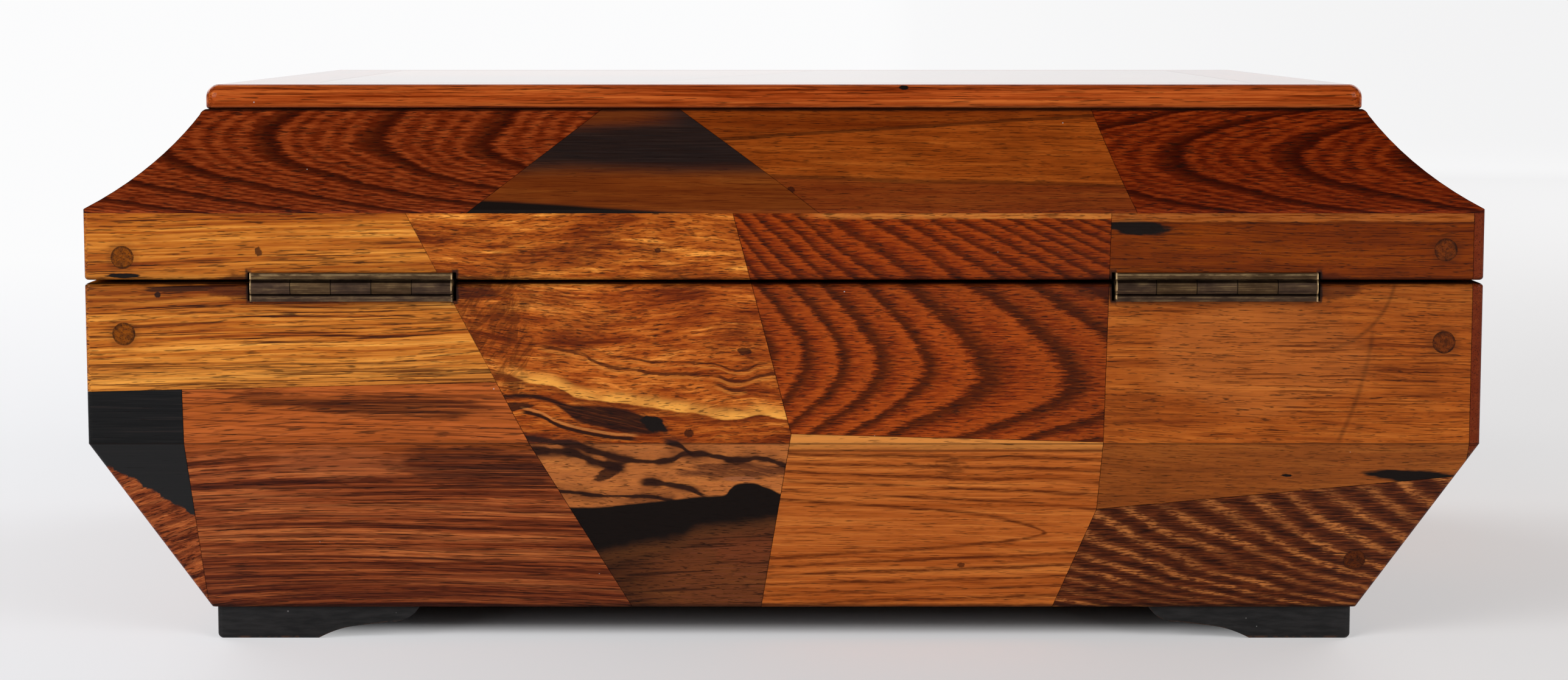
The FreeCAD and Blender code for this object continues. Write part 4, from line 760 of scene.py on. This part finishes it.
def aged_brass(name, tint):
    """Dark tarnished brass, rolled along its length, rubbed bright on its edges with painted highlights
    there, and painted shadow along the barrel.
    """
    s = Shade(name)
    u, w, d = s.grain(*REAR)
    rolled = s.noise((u / 14, w / 0.3, d / 0.3), 3, 0.6)
    patch = s.noise((u / 5, w / 2.2, d / 2.2), 4, 0.6)
    tarnish = spread(rolled * 0.55 + patch * 0.45, 3.6)
    colour = s.ramp(tarnish, (
        (0.0, (0.018, 0.010, 0.007)), (0.4, (0.070, 0.038, 0.023)), (0.7, (0.130, 0.076, 0.040)),
        (1.0, (0.28, 0.18, 0.080)),
    ))
    colour = s.mix(0.35, colour, tint)
    colour = s.dim(colour, s.smooth(u, -50, 50), 0.2)
    outer = s.smooth(d, HALF_DEPTH - 1.4, HALF_DEPTH - 0.6)
    # Painted shadow: dark lines along both sides of the barrel.
    barrel_shadow_lines = s.larger(stroke(s, w, HINGE_AXIS + 1.4, 0.45), stroke(s, w, HINGE_AXIS - 2.0, 0.40))
    colour = s.dim(colour, barrel_shadow_lines * outer, 0.82)
    off_middle = s.math("ABSOLUTE", s.math("ABSOLUTE", u) - HINGE_MIDDLE)
    # Bright lines along the leaf edges and at the hinge ends: partly rubbed brass, partly painted
    # highlight.
    rubbed_and_lit_rims = s.larger(stroke(s, w, HINGE_AXIS + 3.1, 0.28), stroke(s, w, HINGE_AXIS + 1.95, 0.16) * 0.5)
    rubbed_and_lit_rims = s.larger(rubbed_and_lit_rims, stroke(s, w, HINGE_AXIS - 2.55, 0.16) * 0.4)
    chance = s.smooth(s.noise((u / 2.5, w / 1.5, d / 1.5), 3), 0.34, 0.60)
    bright = s.larger(rubbed_and_lit_rims * 0.32, s.smooth(off_middle, HINGE_HALF - 0.5, HINGE_HALF - 0.2))
    colour = s.mix(bright * chance * outer * 0.9, colour, (0.76, 0.52, 0.26))
    between = s.smooth(off_middle, HINGE_HALF - 0.8, HINGE_HALF - 1.4)
    colour = s.dim(colour, s.edges(0.0003) * between, 0.6)
    s.put(s.surface.inputs["Base Color"], colour)
    s.put(s.surface.inputs["Metallic"], 1.0)
    s.put(s.surface.inputs["Roughness"], patch * 0.25 + 0.26)
    s.put(s.surface.inputs["Normal"], s.bump(rolled, 0.0001, 0.4))
    return s.material


def black_foot(name):
    """Satin black paint, dusty, rubbed to brown wood along the sole and the edges."""
    s = Shade(name)
    u, w, d = s.grain(*REAR)
    mottle = s.noise((u / 6, w / 1.2, d / 6), 4, 0.6)
    colour = s.ramp(spread(mottle, 2.4), ((0.2, (0.005, 0.005, 0.005)), (0.9, (0.014, 0.013, 0.013))))
    chance = s.smooth(s.noise((u / 3, w / 3, d / 3), 3, 0.65), 0.46, 0.60)
    sole = s.smooth(w, 1.0, 0.2) * 0.8
    rubbed = s.larger(s.edges(0.0005) * 0.7, sole) * chance
    colour = s.mix(rubbed, colour, (0.100, 0.040, 0.018))
    dust = s.larger(s.specks((u / 2.6, w / 2.6, d / 2.6), 0.075), s.specks((u / 5, w / 5, d / 5), 0.07))
    colour = s.mix(dust * 0.55, colour, (0.30, 0.29, 0.28))
    s.put(s.surface.inputs["Base Color"], colour)
    s.put(s.surface.inputs["Roughness"], mottle * 0.25 + 0.38)
    s.put(s.surface.inputs["Specular IOR Level"], 0.22)
    s.put(s.surface.inputs["Normal"], s.bump(mottle, 0.0002, 0.4))
    return s.material


def dowel_end(name):
    """End grain of the dowels: pores, faint rings, a dark rim."""
    s = Shade(name)
    u, w, d = s.grain(*REAR)
    pore = s.smooth(s.noise((u / 0.35, w / 0.35, d / 4), 2, 0.6), 0.54, 0.66)
    sway = s.noise((u / 2.5, w / 2.5, d / 20), 2)
    ring = s.fraction((w * 0.8 + u * 0.5) / 1.5 + sway * 1.4)
    late = s.smooth(ring, 0.3, 0.8) * s.smooth(ring, 1.0, 0.9)
    olive = s.mix(late * 0.45, (0.225, 0.056, 0.002), (0.090, 0.018, 0.001))
    brown = s.mix(late * 0.45, (0.225, 0.042, 0.003), (0.090, 0.014, 0.001))
    colour = s.mix(s.smooth(u, -50, 50), olive, brown)
    low = leaning(s, w)
    colour = s.dim(colour, low, 0.3)
    colour = s.dim(colour, s.smooth(u, -50, 50), 0.38)
    patch = s.smooth(s.noise((u / 1.8, w / 1.8, d / 20), 3, 0.6), 0.45, 0.62)
    colour = s.dim(colour, patch, 0.45)
    uneven = s.smooth(s.noise((u / 2.2, w / 2.2, 0.0), 2), 0.38, 0.62) * 0.6 + 0.3
    rim = s.smooth(plug_distance(s, u, w), PLUG_RADIUS - 0.7, PLUG_RADIUS - 0.2)
    colour = s.dim(colour, rim * (1 - low * 0.6) * uneven, 0.8)
    return lacquer(s, colour, pore, u, w, d)


def dress(node, material):
    """Give a CAD node its material."""
    mesh = frame["nodes"][node].data
    mesh.materials.clear()
    mesh.materials.append(material)


# Woods and faces by the words in the node names, and how far each face shifts its figure.
recipes = {
    "honey": honey, "rosewood": rosewood, "marbled": marbled, "russet": russet, "amber": amber,
    "walnut": walnut, "striped": striped, "ebony": ebony, "cathedral": cathedral, "cap": plain_cap,
    "rail": cathedral,
}
faces = {"rear": REAR, "front": FRONT, "left": LEFT, "right": RIGHT, "top": TOP}
shifts = {"rear": (0, 0), "front": (17, 9), "left": (-23, 5), "right": (31, -6), "top": (11, 40)}
# Pieces of the rear with marks or tones of their own, then what whole faces have in common.
special = {
    "rear_body_honey": {"marks": honey_marks},
    "rear_rim_honey": {"marks": honey_marks, "gain": (0.95, 0.94, 0.90)},
    "rear_body_ebony": {"marks": ebony_marks},
    "rear_body_rosewood": {"marks": rosewood_marks},
    "rear_body_marbled": {"marks": marbled_marks, "gain": (1.17, 1.12, 1.12)},
    "rear_rim_marbled": {"marks": marbled_marks, "gain": (1.28, 1.40, 1.42)},
    "rear_body_russet": {"marks": russet_marks},
    "rear_rim_russet": {
        "marks": russet_marks, "gain": (0.85, 0.75, 0.55), "finer": 1.5, "contrast": 0.72,
    },
    "rear_body_amber": {"marks": amber_marks},
    "rear_body_walnut": {"marks": walnut_marks},
    "rear_rim_walnut": {"marks": walnut_marks, "gain": (0.58, 0.40, 0.09)},
    "rear_body_striped": {"marks": rear_rings_stains_and_mortise_shade, "gain": (1.09, 1.05, 1.05)},
    "rear_cove_ebony": {"marks": cove_ebony_marks},
    "rear_cove_walnut": {"marks": cove_walnut_marks, "gain": (0.82, 0.70, 0.63)},
    "rear_cove_cathedral_right": {
        "upper": 0.11, "lower": 0.24, "wander": 0, "gain": (0.99, 0.88, 0.78),
    },
    "rear_cove_cathedral_left": {
        "apex": 127.4, "start": 89.3, "spacing": 31.0, "upper": 0.28, "lower": 0.27, "wander": 0,
        "gain": (0.80, 0.54, 0.30),
    },
    "rear_cap_moulding": {"marks": cap_marks, "gain": (1.08, 1.10, 1.12)},
}
common = {"left": {"marks": lip_marks}, "top": {"coat_ior": TOP_COAT_IOR}}
lid_brass = aged_brass("aged_brass_lid", (0.12, 0.074, 0.030))
body_brass = aged_brass("aged_brass_body", (0.085, 0.058, 0.042))
black = black_foot("black_feet")
plugs = dowel_end("dowel_wood")
finishes = {}

for node in frame["nodes"]:
    side, *rest = node.split("_")
    kind = next((word for word in rest if word in recipes), None)
    if side in faces and kind:
        name = node if node in special else side + "_" + kind
        if name not in finishes:
            extras = special.get(node, common.get(side, {}))
            finishes[name] = wood(name, recipes[kind], faces[side], shifts[side], **extras)
        dress(node, finishes[name])
    elif side == "foot" and "screws" not in node:
        dress(node, black)
    elif "dowels" in node:
        dress(node, plugs)
    elif node == "base_panel":
        dress(node, wood(node, walnut, TOP, (9, 60), base_underside_shade, (1.15, 1.3, 1.5)))
    else:
        dress(node, lid_brass if "lid" in node else body_brass)


def sweep():
    """Floor that runs back and curves up into a wall."""
    front, back, bend, height, side = 4.0, -3.2, 1.2, 4.0, 6.0
    steps = 12
    profile = [(front, 0.0), (back, 0.0)]
    for step in range(1, steps + 1):
        angle = math.radians(90 * step / steps)
        profile.append((back - bend * math.sin(angle), bend - bend * math.cos(angle)))
    profile.append((back - bend, height))
    made = bmesh.new()
    rows = [[made.verts.new((x, y, z)) for y, z in profile] for x in (-side, side)]
    for index in range(len(profile) - 1):
        corners = (rows[0][index], rows[0][index + 1], rows[1][index + 1], rows[1][index])
        made.faces.new(corners).smooth = True
    bmesh.ops.recalc_face_normals(made, faces=made.faces)
    mesh = bpy.data.meshes.new("studio_sweep")
    made.to_mesh(mesh)
    made.free()
    stage = bpy.data.objects.new("studio_sweep", mesh)
    scene.collection.objects.link(stage)
    s = Shade("studio_paper")
    s.put(s.surface.inputs["Roughness"], 0.9)
    s.put(s.surface.inputs["Specular IOR Level"], 0.1)
    parts = s.add("ShaderNodeSeparateXYZ", {0: s.point})
    x, y = Field(s, parts.outputs[0]), Field(s, parts.outputs[1])
    paper_tone = s.mix(s.smooth(x, -0.25, 0.30), (0.855, 0.84, 0.84), (0.84, 0.85, 0.90))
    s.put(s.surface.inputs["Base Color"], paper_tone)
    # The camera sees plain white in place of lit paper: more with distance, more towards the left as
    # painted light, less towards the back right as painted shade, and none under the box.
    half_x, half_y = 0.150, 0.114
    apart = s.larger(s.math("ABSOLUTE", x) - half_x, s.math("ABSOLUTE", y) - half_y)
    far = s.smooth(apart, 0.0, 2.1) * s.smooth(y, 1.2, 0.2) * 0.72
    far = far + s.smooth(x, -0.1, 0.4) * 0.36 + 0.28
    far = far - s.smooth(x, -0.12, -0.45) * s.smooth(y, -0.2, -0.5) * 0.2
    # Painted shade: the backdrop's white fades a little towards the right.
    backdrop = s.smooth(s.root(x * x + y * y), 1.3, 2.6) * (1 - s.smooth(x, 0.4, -1.2) * 0.095)
    far = s.larger(far, backdrop) * s.smooth(apart, -0.024, -0.002)
    path = s.add("ShaderNodeLightPath", {})
    behind = Field(s, path.outputs["Is Glossy Ray"]) * s.smooth(y, -0.3, -1.5)
    seen = s.larger(Field(s, path.outputs["Is Camera Ray"]), behind)
    glow = s.add("ShaderNodeEmission", {"Color": STAGE_WHITE, "Strength": 1.0})
    paper = s.add("ShaderNodeMixShader", {0: far * seen, 1: s.surface.outputs[0], 2: glow.outputs[0]})
    s.put(s.output.inputs["Surface"], paper.outputs[0])
    mesh.materials.append(s.material)


def softbox(name, place, aim, size, watts):
    """Square area light turned to a point, hidden from the camera."""
    data = bpy.data.lights.new(name, "AREA")
    data.shape = "SQUARE"
    data.size = size
    data.energy = watts
    lamp = bpy.data.objects.new(name, data)
    lamp.location = place
    lamp.rotation_euler = (Vector(aim) - Vector(place)).to_track_quat("-Z", "Y").to_euler()
    lamp.visible_camera = False
    scene.collection.objects.link(lamp)


def world():
    """Dim grey room that the camera sees as white."""
    made = bpy.data.worlds.new("studio")
    made.use_nodes = True
    scene.world = made
    tree = made.node_tree
    room = tree.nodes["Background"]
    room.inputs["Color"].default_value = (0.10, 0.10, 0.10, 1)
    white = tree.nodes.new("ShaderNodeBackground")
    white.inputs["Color"].default_value = STAGE_WHITE
    path = tree.nodes.new("ShaderNodeLightPath")
    blend = tree.nodes.new("ShaderNodeMixShader")
    tree.links.new(path.outputs["Is Camera Ray"], blend.inputs[0])
    tree.links.new(room.outputs[0], blend.inputs[1])
    tree.links.new(white.outputs[0], blend.inputs[2])
    tree.links.new(blend.outputs[0], tree.nodes["World Output"].inputs["Surface"])


def camera():
    """Camera behind the box, at the photograph's distance and height, tipped down a little."""
    data = bpy.data.cameras.new("camera")
    data.sensor_width = 36.0
    data.lens = 70.59
    data.clip_end = 30.0
    eye = bpy.data.objects.new("camera", data)
    eye.location = (0.0, 0.910, 0.1628)
    tip_down = 6.0
    eye.rotation_euler = (math.radians(90 - tip_down), 0.0, math.radians(180))
    scene.collection.objects.link(eye)
    scene.camera = eye


sweep()
world()
camera()
middle = (0.0, 0.0, 0.08)
softbox("key_left", (1.3, 1.5, 0.9), middle, 1.2, 26.5)
softbox("key_right", (-1.3, 1.5, 0.9), middle, 1.2, 21)
softbox("back_left", (1.4, -1.4, 1.3), middle, 1.6, 25)
softbox("back_right", (-1.4, -1.4, 1.3), middle, 1.6, 21)
